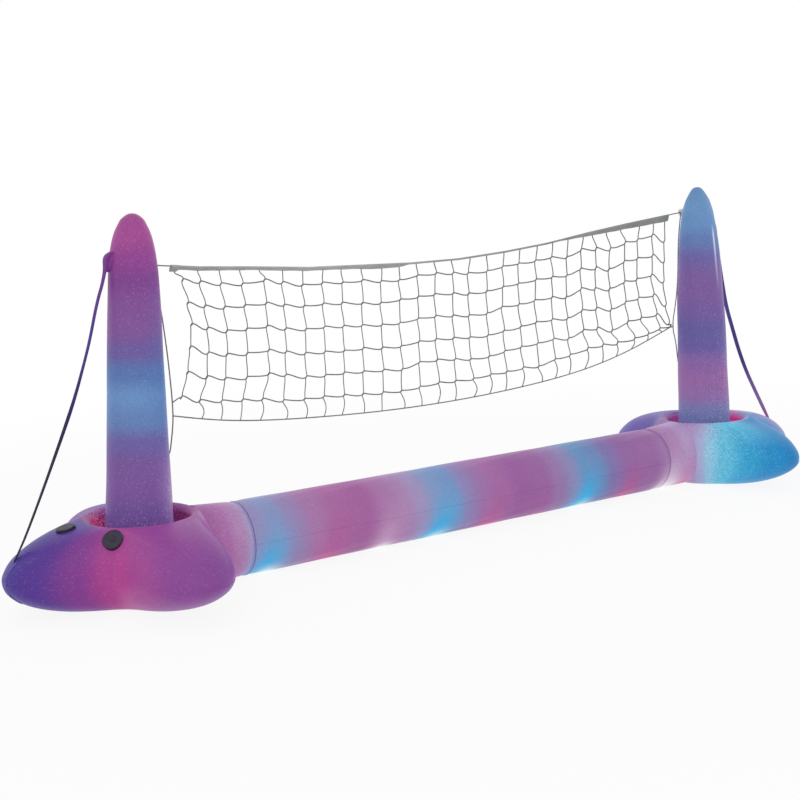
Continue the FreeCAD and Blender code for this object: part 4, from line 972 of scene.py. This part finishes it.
class FLOATNET_OT_straps(bpy.types.Operator):
    """Build the guy straps from the posts' outer sides to the outer lobes"""

    bl_idname = "floatnet.straps"
    bl_label = "Guy straps"

    # Points outwards from the post's foot and up, in millimetres, from the tab on the post to the lobe's tip
    LINES = {
        "left": ((22, 763), (34, 758), (41, 748), (42, 728), (52, 693), (60.5, 672), (72, 637), (88, 578),
                 (108, 520), (130, 460), (154, 404), (206, 290), (259, 179), (286, 132), (299, 112),
                 (306, 98), (308, 86)),
        "right": ((24, 766), (31, 756), (38, 742), (47, 715), (59.5, 644), (74, 579), (90.6, 507), (117, 441),
                  (145, 371), (180, 300), (227, 226), (274, 153), (292, 126), (304, 106), (311, 90)),
    }

    # Half width of each band, and its colours from the post to the lobe
    WIDTHS = {"left": 0.009, "right": 0.0074}
    COLOURS = {
        "left": ((0, "84408e"), (0.06, "763c8c"), (0.12, "64368c"), (0.28, "44308a"), (0.42, "2a2566"),
                 (0.6, "16163a"), (1, "0e0e22")),
        "right": ((0, "5a6fb4"), (0.10, "56559c"), (0.40, "5c5494"), (0.50, "544888"), (0.62, "564686"),
                  (0.74, "8468a8"), (0.84, "9a76ac"), (0.90, "a468a6"), (1, "b08cc0")),
    }
    # Turn of the left band about its own line, in radians by share of its length: the right one is flat
    TWIST = ((0, 0), (0.12, 0.05), (0.35, 0.10), (0.5, 0), (0.7, 0.12), (0.93, 0.20), (1, 0))
    # Section of the band: beside its line in half widths, and above it in half thicknesses
    SECTION = np.array([(-1, 0), (-0.96, 1), (-0.5, 1.15), (0, 1), (0.5, 1.15), (0.96, 1), (1, 0),
                        (0.96, -1), (0.5, -0.9), (0, -1), (-0.5, -0.9), (-0.96, -1)])
    # Middle of each tab outwards and up, its half width and half height, and its colours by height
    TABS = {"left": (0.0300, 0.741, 0.0115, 0.022), "right": (0.0290, 0.744, 0.0080, 0.022)}
    TAB_BANDS = {"left": ((0.715, "6f3a8c"), (0.740, "87418f"), (0.765, "944592")),
                 "right": ((0.715, "5a6fb4"), (0.740, "658fc4"), (0.765, "6d97c7"))}

    def execute(self, context):
        for word, side in SIDES.items():
            piece = self.tab(self.strap(word, side), word, side).build(f"{word}_strap_band")
            hidden = [f"{word}_guy_strap", f"{word}_strap_top_patch"]
            dress(piece, self.finish(word), instead=hidden)
        return {"FINISHED"}

    def strap(self, word, side):
        """A flat band with rounded edges carried along a smooth line, turning a little on the way. It is
        wider and thicker where it leaves its tab and narrower towards its end."""
        centre = settings().foot.centre
        line = spline([(side * (centre + x / 1000), 0.0, z / 1000) for x, z in self.LINES[word]])
        ahead = directions(line)
        share = np.linspace(0, 1, len(line))
        places, turns = np.array(self.TWIST).T
        twist = np.interp(share, places, turns)[:, None] * (word == "left")
        across = np.stack([0 * share, np.cos(twist[:, 0]), 0 * share], 1)
        out = np.cross(ahead, across)
        out /= np.linalg.norm(out, axis=1)[:, None]
        across = across + out * np.sin(twist)
        tab = bump_of(share - 0.035, 0.030)
        width = self.WIDTHS[word] + 0.002 * tab - 0.0035 * np.clip((share - 0.86) / 0.10, 0, 1)
        thick = 0.0007 + 0.0015 * tab
        beside, above = self.SECTION.T[:, :, None]
        points = line[:, None] + across[:, None] * (beside * width[:, None, None]) \
            + out[:, None] * (above * thick[:, None, None])
        paint = bands(share, self.COLOURS[word])[:, None] + np.zeros((1, len(beside), 1))
        return Shell().grid(points, paint, wrap=True, caps=(True, True), flip=True)

    def tab(self, shell, word, side):
        """The welded tab that carries the band: a flattened egg half sunk in the post."""
        out, high, wide, tall = self.TABS[word]
        rise = np.linspace(0.12, math.pi - 0.12, 22)[:, None]
        turn = circle(28)
        far = wide * np.sin(rise) * np.cos(turn)
        x = side * (settings().foot.centre + out + far - 0.30 * tall * np.cos(rise))
        points = np.stack([x, 0.011 * np.sin(rise) * np.sin(turn), high + tall * np.cos(rise) + 0 * turn], -1)
        paint = bands(points[..., 2], self.TAB_BANDS[word])
        return shell.grid(points, paint, glitter=0.4, wrap=True, caps=(True, True), flip=side > 0)

    def finish(self, word):
        """Two welded strips of film: their painted colour with a fine embossed grain."""
        finish = Finish(f"{word}_strap_film", roughness=0.55, specular_ior_level=0.06)
        grain = finish.noise(0.004).between(0.45, 0.75)
        finish.lit(finish.mixed(grain * 0.08, finish.paint()[0], rgba("6f66a8")), 0.35)
        finish.relief(finish.noise(0.0012, detail=1.0), 0.0002, 0.5)
        return finish.material


def spline(points, step=0.004):
    """Evenly spaced points of the NURBS curve of order three with those control points."""
    curve = bpy.data.curves.new("route", "CURVE")
    curve.dimensions = "3D"
    run = curve.splines.new("NURBS")
    run.points.add(len(points) - 1)
    run.points.foreach_set("co", np.c_[np.array(points, float), np.ones(len(points))].ravel())
    run.order_u = 3
    run.use_endpoint_u = True
    run.resolution_u = 24
    holder = bpy.data.objects.new("route", curve)
    mesh = bpy.data.meshes.new_from_object(holder)
    line = np.zeros(len(mesh.vertices) * 3)
    mesh.vertices.foreach_get("co", line)
    line = line.reshape(-1, 3)
    bpy.data.objects.remove(holder)
    bpy.data.meshes.remove(mesh)
    bpy.data.curves.remove(curve)
    far = distances(line)
    keep = np.concatenate([[True], np.diff(far) > 1e-7])
    far, line = far[keep], line[keep]
    places = np.linspace(0, far[-1], max(8, int(far[-1] / step)))
    return np.stack([np.interp(places, far, line[:, i]) for i in range(3)], 1)


def distances(line):
    """How far along the line each of its points lies."""
    return np.concatenate([[0], np.cumsum(np.linalg.norm(np.diff(line, axis=0), axis=1))])


def directions(line):
    """Unit directions along a line."""
    ahead = np.gradient(line, axis=0)
    return ahead / np.linalg.norm(ahead, axis=1)[:, None]


def laid_rope(line, diameter, pitch, sides=10, strands=3):
    """A rope of twisted strands: its section is a rounded trefoil that turns along the line."""
    ahead = directions(line)
    beside = np.cross(ahead, [0.13, 1.0, 0.21])
    beside /= np.linalg.norm(beside, axis=1)[:, None]
    above = np.cross(ahead, beside)
    turn = circle(sides)
    phase = turn * strands + distances(line)[:, None] / pitch * TURN
    radius = diameter / 2 * (0.90 + 0.10 * np.cos(phase))
    return line[:, None] + beside[:, None] * (radius * np.cos(turn))[..., None] \
        + above[:, None] * (radius * np.sin(turn))[..., None]


class FLOATNET_OT_net(bpy.types.Operator):
    """Build the net's cords and knots, and its head band"""

    bl_idname = "floatnet.net"
    bl_label = "Net"

    def execute(self, context):
        piece = self.cords(self.knots()).build("net_mesh_cords")
        dress(piece, cord_finish("net_cord"), instead=["netting"])
        band = self.band().build("head_band_webbing", charted=True)
        dress(band, self.webbing(), instead=["net_head_band"])
        return {"FINISHED"}

    # The knots of so many columns of meshes, in millimetres: X of the top row, X and Z of the middle row and
    # of the lowest but one, and X of the row on the foot rope
    DRAWN = 28
    TOP_X = (-755, -695, -641, -588, -536, -474, -419, -362, -310, -252, -192, -138, -84, -28, 28, 89, 144,
             203, 259, 319, 374, 429, 484, 517, 568, 621, 694, 747, 790)
    MIDDLE_X = (-736, -692, -643, -590, -533, -484, -430, -375, -321, -264, -208, -151, -95, -40, 16, 68, 127,
                182, 238, 295, 353, 407, 462, 518, 569, 628, 681, 738, 790)
    MIDDLE_Z = (587, 573, 565, 563, 565, 557, 550, 549, 546, 545, 542, 541, 549, 551, 549, 544, 545, 554, 561,
                566, 570, 568, 586, 587, 579, 595, 603, 610, 583)
    LOW_X = (-762, -717, -661, -606, -554, -498, -440, -387, -328, -271, -212, -156, -98, -38, 16, 74, 133,
             187, 245, 300, 359, 415, 481, 539, 596, 660, 715, 764, 810)
    LOW_Z = (424, 411, 404, 400, 396, 386, 383, 383, 380, 376, 373, 371, 375, 380, 378, 378, 383, 385, 390,
             388, 402, 408, 420, 425, 425, 432, 441, 452, 457)
    FOOT_X = (-783, -715, -666, -615, -563, -493, -438, -387, -335, -271, -217, -148, -94, -43, 14, 75, 128,
              183, 240, 311, 358, 410, 468, 536, 588, 648, 711, 768, 817)

    def knots(self):
        """Places of the knots, row by row: five rows keep the middle row's line, drawn in at both ends."""
        n = settings().net
        random = np.random.default_rng(5)
        share = np.linspace(0, 1, n.columns + 1)
        left, right = share * self.DRAWN, self.DRAWN - share * self.DRAWN

        def table(values):
            """A drawn row by column, in metres."""
            return np.interp(share, np.linspace(0, 1, len(values)), values) / 1000

        def pull(first, last, fade, far_fade):
            """Drawn in by row, in millimetres, fading over so many columns from each end."""
            return (np.outer(first, np.exp(-left / fade)) + np.outer(last, np.exp(-right / far_fade))) / 1000

        up = np.array([1.98, 1.03, 0.02, -1.02, -2.02])[:, None] * n.row
        aside = np.array([3, 0.5, -1.7, -1, 0])[:, None] / 1000
        x = table(self.MIDDLE_X) + aside + pull((-8, 3, 8, 5, -7), (-7, -7, -5, 2, 14), 5, 3.5)
        z = table(self.MIDDLE_Z) + up + pull((-7, -5, -1, 6, 5), (9, 5, 2, -8, -6), 3, 0.8)
        x = x + random.normal(0, 0.0014, x.shape)
        z = z + random.normal(0, 0.0014, z.shape)
        top, foot = table(self.TOP_X), table(self.FOOT_X)
        hem_y, hem_z = self.hem(top)
        x = np.stack([top, *x, table(self.LOW_X), foot])
        z = np.stack([hem_z, *z, table(self.LOW_Z), on_line(foot, FOOT_ROPE)])
        y = n.depth + random.normal(0, 0.0012, x.shape)
        y[0], y[-1] = hem_y, n.depth
        return np.stack([x, y, z], -1)

    # Points along each mesh side and each knot, and half a knot's width
    POINTS = 9
    KNOT_POINTS = 5
    KNOT_WIDTH = 0.0022
    # Half a knot's height by column, in millimetres
    KNOT_HEIGHTS = ((0, 3), (6, 2), (20, 2), (23, 3.5), (26, 3), (28, 3))
    # Where the lowest left corner is tied to the side cord
    CORNER_TIE = (-0.785, 0.415)

    def cords(self, knots):
        """Mesh sides as cubic curves with set end slopes, from each knot's low point to the next one's high
        point. The first lines run down, the others across, and short thick ones make the knots."""
        n = settings().net
        random = np.random.default_rng(9)
        rows, count = knots.shape[:2]
        places, heights = np.array(self.KNOT_HEIGHTS).T
        step = np.interp(np.arange(count) / (count - 1) * self.DRAWN, places, heights) / 1000
        half = np.zeros(knots.shape)
        half[1:-1, :, 0] = self.KNOT_WIDTH
        half[1:-1, :, 2] = step * random.uniform(0.8, 1.2, (rows - 2, count))
        high, low = knots + half, knots - half
        leave, arrive = random.normal(0, 0.10, (2, rows, count))
        fall = self.arc(low[:-1], high[1:], (leave[:-1], -1), (arrive[:-1], -1))
        fall = fall.reshape(rows - 1, count, self.POINTS, 3)
        belly = np.sin(np.linspace(0, math.pi, self.POINTS))
        fall[-1, ..., 0] += random.normal(0.006, 0.003, (count, 1)) * belly
        fall = np.concatenate([fall[:-1].reshape(-1, self.POINTS, 3), fall[-1, 1:]])
        across = self.arc(high[1:-1, :-1], low[1:-1, 1:], (1, -0.15 + 0.5 * leave[1:-1, :-1]),
                          (1, 0.15 + 0.5 * arrive[1:-1, :-1]))
        lines = np.concatenate([fall, across])
        slack = np.where(np.arange(len(lines)) < len(fall), 0.92, 1.08)
        radius = n.cord / 2 * slack * np.interp(lines[:, 0, 0], (-0.4, 0.6), (1.0, 1.18))
        shell = Shell().tubes(lines, radius[:, None] + 0 * lines[..., 0], 6)
        share = np.linspace(0, 1, self.KNOT_POINTS)[:, None]
        links = low[1:-1, :, None] * (1 - share) + high[1:-1, :, None] * share
        links = links.reshape(-1, self.KNOT_POINTS, 3)
        middle = links.mean(1, keepdims=True)
        fat = np.array([0.35, 0.72, 0.82, 0.72, 0.35]) * n.knot
        fat = fat * random.uniform(0.85, 1.15, (len(links), 1))
        shell.tubes(middle + (links - middle) * 1.35, fat, 7)
        corner = np.array([self.CORNER_TIE[0], n.depth, self.CORNER_TIE[1]])
        tie = self.arc(knots[-2, :1], corner, (-1, 0.1), (-1, -0.4))
        return shell.tubes(tie, n.cord / 2 + 0 * tie[..., 0], 6)

    def arc(self, start, end, leave, arrive):
        """Cubic curves between points, leaving and arriving along slopes in X and Z."""
        start, end = start.reshape(-1, 1, 3), end.reshape(-1, 1, 3)
        reach = np.linalg.norm(end - start, axis=2) * 0.9

        def slope(pair):
            """An end slope in X and Z, scaled to the curve's reach."""
            x, z = (np.reshape(value, (-1, 1)) * reach for value in pair)
            return np.stack([x, 0 * reach, z], -1)

        t = np.linspace(0, 1, self.POINTS)[:, None]
        return (2 * t ** 3 - 3 * t ** 2 + 1) * start + (t ** 3 - 2 * t ** 2 + t) * slope(leave) \
            + (3 * t ** 2 - 2 * t ** 3) * end + (t ** 3 - t ** 2) * slope(arrive)

    # Seen height of the band by X, in millimetres: rolled at its left end, edge-on along the middle
    HEIGHTS = ((-768, 14), (-752, 14), (-744, 10), (-580, 9.5), (-320, 10), (-250, 11.5), (-219, 12.5),
               (-150, 12), (-122, 9), (-108, 3.6), (350, 3.6), (372, 6), (477, 12), (618, 17), (792, 19.5),
               (803, 19.5))
    # Length of the band's flat tail under its rope, and its colours by X
    BAND_TAIL = 0.0175
    BAND_COLOURS = ((-0.77, "b4b4b4"), (-0.35, "bebebe"), (-0.10, "b2b2b0"), (0.30, "a3a19d"),
                    (0.80, "9c9d98"))

    def tilt(self, x):
        """How far the tail is turned backwards, so that its seen height is the one read at x."""
        places, heights = np.array(self.HEIGHTS).T / 1000
        seen = np.interp(x, places, heights)
        return np.arccos(np.clip((seen - 0.0022) / self.BAND_TAIL, 0.03, 1))

    def hem(self, x):
        """Y and Z of the tail's lower edge at x."""
        tilt = self.tilt(x)
        return (settings().net.depth + self.BAND_TAIL * np.sin(tilt),
                on_line(x, head_line()) - self.BAND_TAIL * np.cos(tilt))

    def band(self):
        """Folded webbing: a round fold about the rope and a flat tail, turned backwards by place and rolled
        up at its left end."""
        rolled, flat = np.linspace(-0.767, -0.744, 12), np.linspace(-0.741, 0.800, 420)
        x = np.concatenate([rolled, flat, [0.8025, 0.803]])[:, None]
        tilt = self.tilt(x)
        roll = np.interp(x, (-0.752, -0.742), (1, 0))
        turn = circle(24)
        tail = np.clip(-np.sin(turn), 0, 1) ** 1.4
        beside = np.cos(turn) * (0.0026 * (1 - tail) + 0.0011 * tail + 0.0030 * roll * (0.4 + tail))
        under = 0.0026 * np.sin(turn) * (1 - tail) - self.BAND_TAIL * tail
        wave = 0.0007 * ripple(x * 3.0, (5, 9, 14, 23, 37), 71) * tail
        y = settings().net.depth + beside * np.cos(tilt) - under * np.sin(tilt) + wave * np.sin(tilt)
        height = on_line(x, head_line()) + under * np.cos(tilt) + beside * np.sin(tilt) + wave
        points = np.stack([x + 0 * turn, y, height], -1)
        chart = np.stack([x + 0 * turn, 0.04 * turn / TURN + 0 * x], -1)
        paint = bands(points[..., 0], self.BAND_COLOURS)
        return Shell().grid(points, paint, wrap=True, caps=(True, True), uv=chart)

    def webbing(self):
        """Plain-woven webbing: fine ribs both ways and cloudy dirt."""
        finish = Finish("webbing", roughness=0.85, sheen_weight=0.25)
        chart = finish.node("ShaderNodeTexCoord").outputs["UV"]
        across, along = (finish.node("ShaderNodeTexWave", {"bands_direction": way}, Vector=chart, Scale=ribs)
                         for way, ribs in (("X", 140.0), ("Y", 190.0)))
        weave = Value(finish, across.outputs[1]) * 0.5 + Value(finish, along.outputs[1]) * 0.5
        cloud = finish.noise(0.035, detail=3.0)
        colour = finish.shaded(finish.paint()[0], (cloud - 0.5) * 0.5 + 1.02)
        finish.set("Base Color", finish.mixed(weave * 0.14, colour, rgba("5f6062")))
        finish.relief(weave, 0.0004, 0.6)
        return finish.material


def cord_finish(name):
    """Twisted twine: grey with paler and darker stretches and a fine rough nap."""
    net = settings().net
    finish = Finish(name, roughness=0.8)
    cloud = finish.noise(0.030, detail=3.0)
    pale = (*[min(1, v * 1.18) for v in net.grey], 1)
    dark = (*[v * 0.72 for v in net.grey], 1)
    finish.set("Base Color", finish.mixed(cloud.between(0.35, 0.65), dark, pale))
    finish.relief(finish.noise(0.0011, detail=1.0), 0.0003, 0.7)
    return finish.material


# Rope routes, in metres, as the CAD part lays them

HEAD_ROPE = ((-0.700, 0.715), (-0.560, 0.707), (-0.410, 0.697), (-0.260, 0.694), (-0.110, 0.691),
             (0.040, 0.6935), (0.190, 0.704), (0.340, 0.719), (0.490, 0.741), (0.640, 0.760), (0.780, 0.776))
FOOT_ROPE = ((-0.784, 0.384), (-0.700, 0.365), (-0.600, 0.350), (-0.490, 0.340), (-0.370, 0.333),
             (-0.250, 0.328), (-0.130, 0.326), (-0.010, 0.327), (0.110, 0.331), (0.230, 0.338),
             (0.350, 0.348), (0.470, 0.363), (0.590, 0.387), (0.700, 0.417), (0.812, 0.455))
LEFT_CORD = ((-0.812, 0.690), (-0.800, 0.640), (-0.792, 0.557), (-0.787, 0.480), (-0.784, 0.386),
             (-0.792, 0.333), (-0.802, 0.285))
RIGHT_CORD = ((0.842, 0.720), (0.840, 0.600), (0.832, 0.530), (0.814, 0.456), (0.830, 0.408), (0.838, 0.345))


def in_plane(route):
    """A route's points in the net's plane."""
    return [(x, settings().net.depth, z) for x, z in route]


def eyelet(word, top):
    """Middle of an eyelet ring, from the CAD grommets of that side."""
    places = np.array([v.co for v in frame["nodes"][f"{word}_net_grommets"].data.vertices])
    middle = (places[:, 2].min() + places[:, 2].max()) / 2
    ring = places[places[:, 2] > middle] if top else places[places[:, 2] < middle]
    return tuple((ring.min(0) + ring.max(0)) / 2)


def head_line():
    """The head rope from eyelet to eyelet, as X and Z."""
    left, right = eyelet("left", True), eyelet("right", True)
    return ((left[0], left[2]), *HEAD_ROPE, (right[0], right[2]))


def on_line(x, line):
    """Height of a drawn line at x."""
    places = np.array(line)
    return np.interp(x, places[:, 0], places[:, 1])


class FLOATNET_OT_cords(bpy.types.Operator):
    """Build the head rope, foot rope and side cords"""

    bl_idname = "floatnet.cords"
    bl_label = "Ropes"

    def execute(self, context):
        left_top, right_top = eyelet("left", True), eyelet("right", True)
        routes = {
            "head_rope": ((left_top, *in_plane(HEAD_ROPE), right_top), 1.711, "taut"),
            "foot_rope": (in_plane(FOOT_ROPE), 1.614, "taut"),
            "left_side_cord": ((left_top, *in_plane(LEFT_CORD), eyelet("left", False)), 0.526, "hanging"),
            "right_side_cord": ((right_top, *in_plane(RIGHT_CORD), eyelet("right", False)), 0.521, "hanging"),
        }
        material = cord_finish("rope_twine")
        for node, (route, length, lay) in routes.items():
            self.rope(node, route, length, lay, material)
        return {"FINISHED"}

    def rope(self, node, route, length, lay, material, step=0.0016, pitch=0.011):
        """A laid rope on its route, closed at both ends."""
        diameter = settings().net.rope
        line = spline(route, step)
        shell = Shell().grid(laid_rope(line, diameter, pitch), wrap=True, caps=(True, True))
        piece = dress(shell.build(f"{node}_twine"), material, instead=[node])


class FLOATNET_OT_fittings(bpy.types.Operator):
    """Give the pod, valves, tabs, patches and light strings their finishes"""

    bl_idname = "floatnet.fittings"
    bl_label = "Fittings"

    # Finish, its colour, roughness, share of glow and alpha, and the nodes that take it
    PLASTICS = (
        ("pod_black", "1d1530", 0.5, 0.0, 1.0,
         ("light_pod_tub", "light_pod_cap", "base_valve_seat", "base_valve_cap", "pod_cable_gland",
          "left_splice_block", "left_post_bushing", "right_splice_block", "right_post_bushing")),
        ("button_black", "1c142d", 0.6, 0.0, 1.0, ("power_button",)),
        ("seal_silicone", "8a3a20", 0.6, 0.0, 1.0, ("light_pod_seal",)),
        ("flap_vinyl", "c9cfdc", 0.35, 0.0, 1.0, ("base_valve_flap",)),
        ("board_green", "1f5c33", 0.5, 0.0, 1.0, ("circuit_board", "button_switch")),
        ("lead_jacket", "d5d8de", 0.4, 0.0, 1.0,
         ("pod_lead", "tube_light_cable", "left_post_light_cable", "right_post_light_cable")),
        ("lamp_clear", "f4ecfa", 0.2, 1.0, 1.0,
         ("tube_light_modules", "left_post_light_modules", "right_post_light_modules")),
        ("tab_clear_vinyl", "dfe4f0", 0.3, 0.0, 0.35, ("left_net_tabs", "right_net_tabs")),
        ("left_valve_vinyl", "9c8fc4", 0.3, 0.15, 1.0,
         ("left_post_valve_collar", "left_post_valve_stem", "left_post_valve_plug")),
        ("right_valve_vinyl", "9fb0d6", 0.3, 0.15, 1.0,
         ("right_post_valve_collar", "right_post_valve_stem", "right_post_valve_plug")),
        ("left_patch_film", "7a4a92", 0.4, 0.2, 1.0, ("left_post_base_disc",)),
        ("right_patch_film", "6f86bd", 0.4, 0.2, 1.0, ("right_post_base_disc",)),
        ("left_foot_patch_film", "4a3890", 0.5, 0.5, 1.0, ("left_strap_foot_patch",)),
        ("right_foot_patch_film", "b08cc0", 0.5, 0.5, 1.0, ("right_strap_foot_patch",)),
    )
    # Finish, its colour and roughness, and the nodes that take it
    METALS = (
        ("cell_steel", "c4c5c8", 0.3, ("coin_cells",)),
        ("contact_brass", "c9b06a", 0.25, ("cell_contact_clip",)),
        ("eyelet_steel", "a9abb2", 0.35, ("left_net_grommets", "right_net_grommets")),
    )

    def execute(self, context):
        for make, finishes in ((self.moulded, self.PLASTICS), (self.metal, self.METALS)):
            for *look, nodes in finishes:
                material = make(*look)
                for node in nodes:
                    coat(node, material)
        return {"FINISHED"}

    def moulded(self, name, code, roughness, glow, alpha):
        """Moulded plastic: an even colour with faint flow marks, a fine satin grain and worn patches."""
        finish = Finish(name, roughness=roughness, alpha=alpha)
        base = linear(code)
        pale, dark = (*np.clip(base * 1.35 + 0.01, 0, 1), 1), (*(base * 0.75), 1)
        shown = finish.mixed(finish.noise(0.012, detail=3.0).between(0.3, 0.7), dark, pale)
        if glow:
            finish.lit(shown, glow)
        else:
            finish.set("Base Color", shown)
        finish.set("Roughness", (finish.noise(0.004) - 0.5) * 0.25 + roughness)
        finish.relief(finish.noise(0.0008, detail=1.0), 0.00012, 0.5)
        return finish.material

    def metal(self, name, code, roughness):
        """Plated sheet metal: bright with light scratches."""
        finish = Finish(name, metallic=1.0)
        scratch = finish.noise(0.0012)
        base = linear(code)
        cloud = finish.noise(0.006).between(0.3, 0.7)
        finish.set("Base Color", finish.mixed(cloud, (*(base * 0.8), 1), (*base, 1)))
        finish.set("Roughness", (scratch - 0.5) * 0.3 + roughness)
        finish.relief(scratch, 0.0001, 0.4)
        return finish.material


class FLOATNET_OT_stage(bpy.types.Operator):
    """Set up the floor, the light and the camera"""

    bl_idname = "floatnet.stage"
    bl_label = "Studio"

    # The camera's place, and its degrees of turn from X, of tilt and of roll
    CAMERA = (-2.0395, -2.6980, 0.8429)
    AIM = (55.625, -8.446, -2.15)
    FLOOR_EDGE = 30.0

    def execute(self, context):
        stage = settings().stage
        self.floor(stage.fade)
        self.world(stage.daylight)
        self.softbox("key_softbox", (-2.6, -3.4, 3.6), 3.2, stage.softbox)
        self.softbox("fill_softbox", (3.4, -2.2, 2.6), 3.0, stage.softbox * 0.35)
        self.camera(stage.lens)
        context.scene.view_settings.view_transform = "Standard"
        return {"FINISHED"}

    def floor(self, fade):
        """A white floor that takes the object's shadow. To the camera and to gloss most of it is plain white,
        and all of it further off."""
        points = self.FLOOR_EDGE * np.array([(-1, -1, 0), (1, -1, 0), (1, 1, 0), (-1, 1, 0)])
        floor = new_mesh("studio_floor", points, [(0, 1, 2, 3)], smooth=False)
        finish = Finish("floor_white", roughness=0.9)
        greys = [(v, v, v, 1) for v in (0.94, 0.96)]
        finish.set("Base Color", finish.mixed(finish.noise(0.8), *greys))
        length = finish.node("ShaderNodeVectorMath", {"operation": "LENGTH"}, finish.here)
        away = Value(finish, length.outputs["Value"])
        plain = away.between(1.5, 3.0) * (1 - fade) + fade
        white = finish.node("ShaderNodeEmission", {}, (1, 1, 1, 1), 1.0)
        share = (self.seen(finish) * plain).clamped()
        both = finish.node("ShaderNodeMixShader", {}, share, finish.shader.outputs[0], white.outputs[0])
        finish.feed(finish.out.inputs[0], both.outputs[0])
        floor.data.materials.append(finish.material)

    def world(self, strength):
        """Even daylight, and plain white where the camera or a gloss looks past the floor."""
        world = bpy.data.worlds.new("studio_daylight")
        sky = Nodes(world)
        lit, white = (sky.node("ShaderNodeBackground", {}, (1, 1, 1, 1), power) for power in (strength, 1.0))
        share = self.seen(sky).clamped()
        both = sky.node("ShaderNodeMixShader", {}, share, lit.outputs[0], white.outputs[0])
        sky.node("ShaderNodeOutputWorld", {}, both.outputs[0])
        bpy.context.scene.world = world

    def seen(self, nodes):
        """1 or more for a ray from the camera, off a gloss or through glass, else 0."""
        path = nodes.node("ShaderNodeLightPath").outputs
        return Value(nodes, path["Is Camera Ray"]) + Value(nodes, path["Is Glossy Ray"]) \
            + Value(nodes, path["Is Transmission Ray"])

    def softbox(self, name, place, size, power):
        """A square lamp that points at the middle of the float."""
        lamp = bpy.data.lights.new(name, "AREA")
        lamp.shape = "SQUARE"
        lamp.size = size
        lamp.energy = power
        holder = bpy.data.objects.new(name, lamp)
        bpy.context.scene.collection.objects.link(holder)
        aim = np.array([0, 0, 0.3]) - np.array(place)
        holder.matrix_world = self.facing(place, aim / np.linalg.norm(aim), 0.0)

    def camera(self, lens):
        """The camera that sees the object as the photograph does."""
        turn, tilt, roll = (math.radians(v) for v in self.AIM)
        ahead = np.array([math.cos(turn) * math.cos(tilt), math.sin(turn) * math.cos(tilt), math.sin(tilt)])
        data = bpy.data.cameras.new("photo_camera")
        data.lens = lens
        data.sensor_width = 36.0
        data.clip_end = 100.0
        holder = bpy.data.objects.new("photo_camera", data)
        bpy.context.scene.collection.objects.link(holder)
        holder.matrix_world = self.facing(self.CAMERA, ahead, roll)
        bpy.context.scene.camera = holder

    def facing(self, place, ahead, roll):
        """The placement that looks along ahead, turned by roll about it."""
        right = np.cross(ahead, [0, 0, 1])
        right /= np.linalg.norm(right)
        up = np.cross(right, ahead)
        c, s = math.cos(roll), math.sin(roll)
        right, up = c * right + s * up, c * up - s * right
        columns = np.eye(4)
        columns[:3, 0], columns[:3, 1], columns[:3, 2], columns[:3, 3] = right, up, -ahead, place
        return Matrix(columns.tolist())


OPERATORS = (FLOATNET_OT_tube, FLOATNET_OT_feet, FLOATNET_OT_posts, FLOATNET_OT_straps, FLOATNET_OT_net,
             FLOATNET_OT_cords, FLOATNET_OT_fittings, FLOATNET_OT_stage)


class FLOATNET_PT_panel(bpy.types.Panel):
    """Lists the builders of the float net"""

    bl_idname = "FLOATNET_PT_panel"
    bl_label = "Float net"
    bl_space_type = "VIEW_3D"
    bl_region_type = "UI"
    bl_category = "Float net"

    def draw(self, context):
        for operator in OPERATORS:
            self.layout.operator(operator.bl_idname)


CLASSES = (FilmSettings, TubeSettings, FootSettings, PostSettings, NetSettings, StageSettings, NetSetSettings,
           *OPERATORS, FLOATNET_PT_panel)


def register():
    for item in CLASSES:
        bpy.utils.register_class(item)
    bpy.types.Scene.float_net = PointerProperty(type=NetSetSettings)


def unregister():
    del bpy.types.Scene.float_net
    for item in reversed(CLASSES):
        bpy.utils.unregister_class(item)


def main():
    register()
    bpy.ops.floatnet.tube()
    bpy.ops.floatnet.feet()
    bpy.ops.floatnet.posts()
    bpy.ops.floatnet.straps()
    bpy.ops.floatnet.net()
    bpy.ops.floatnet.cords()
    bpy.ops.floatnet.fittings()
    bpy.ops.floatnet.stage()


if __name__ == "__main__":
    main()
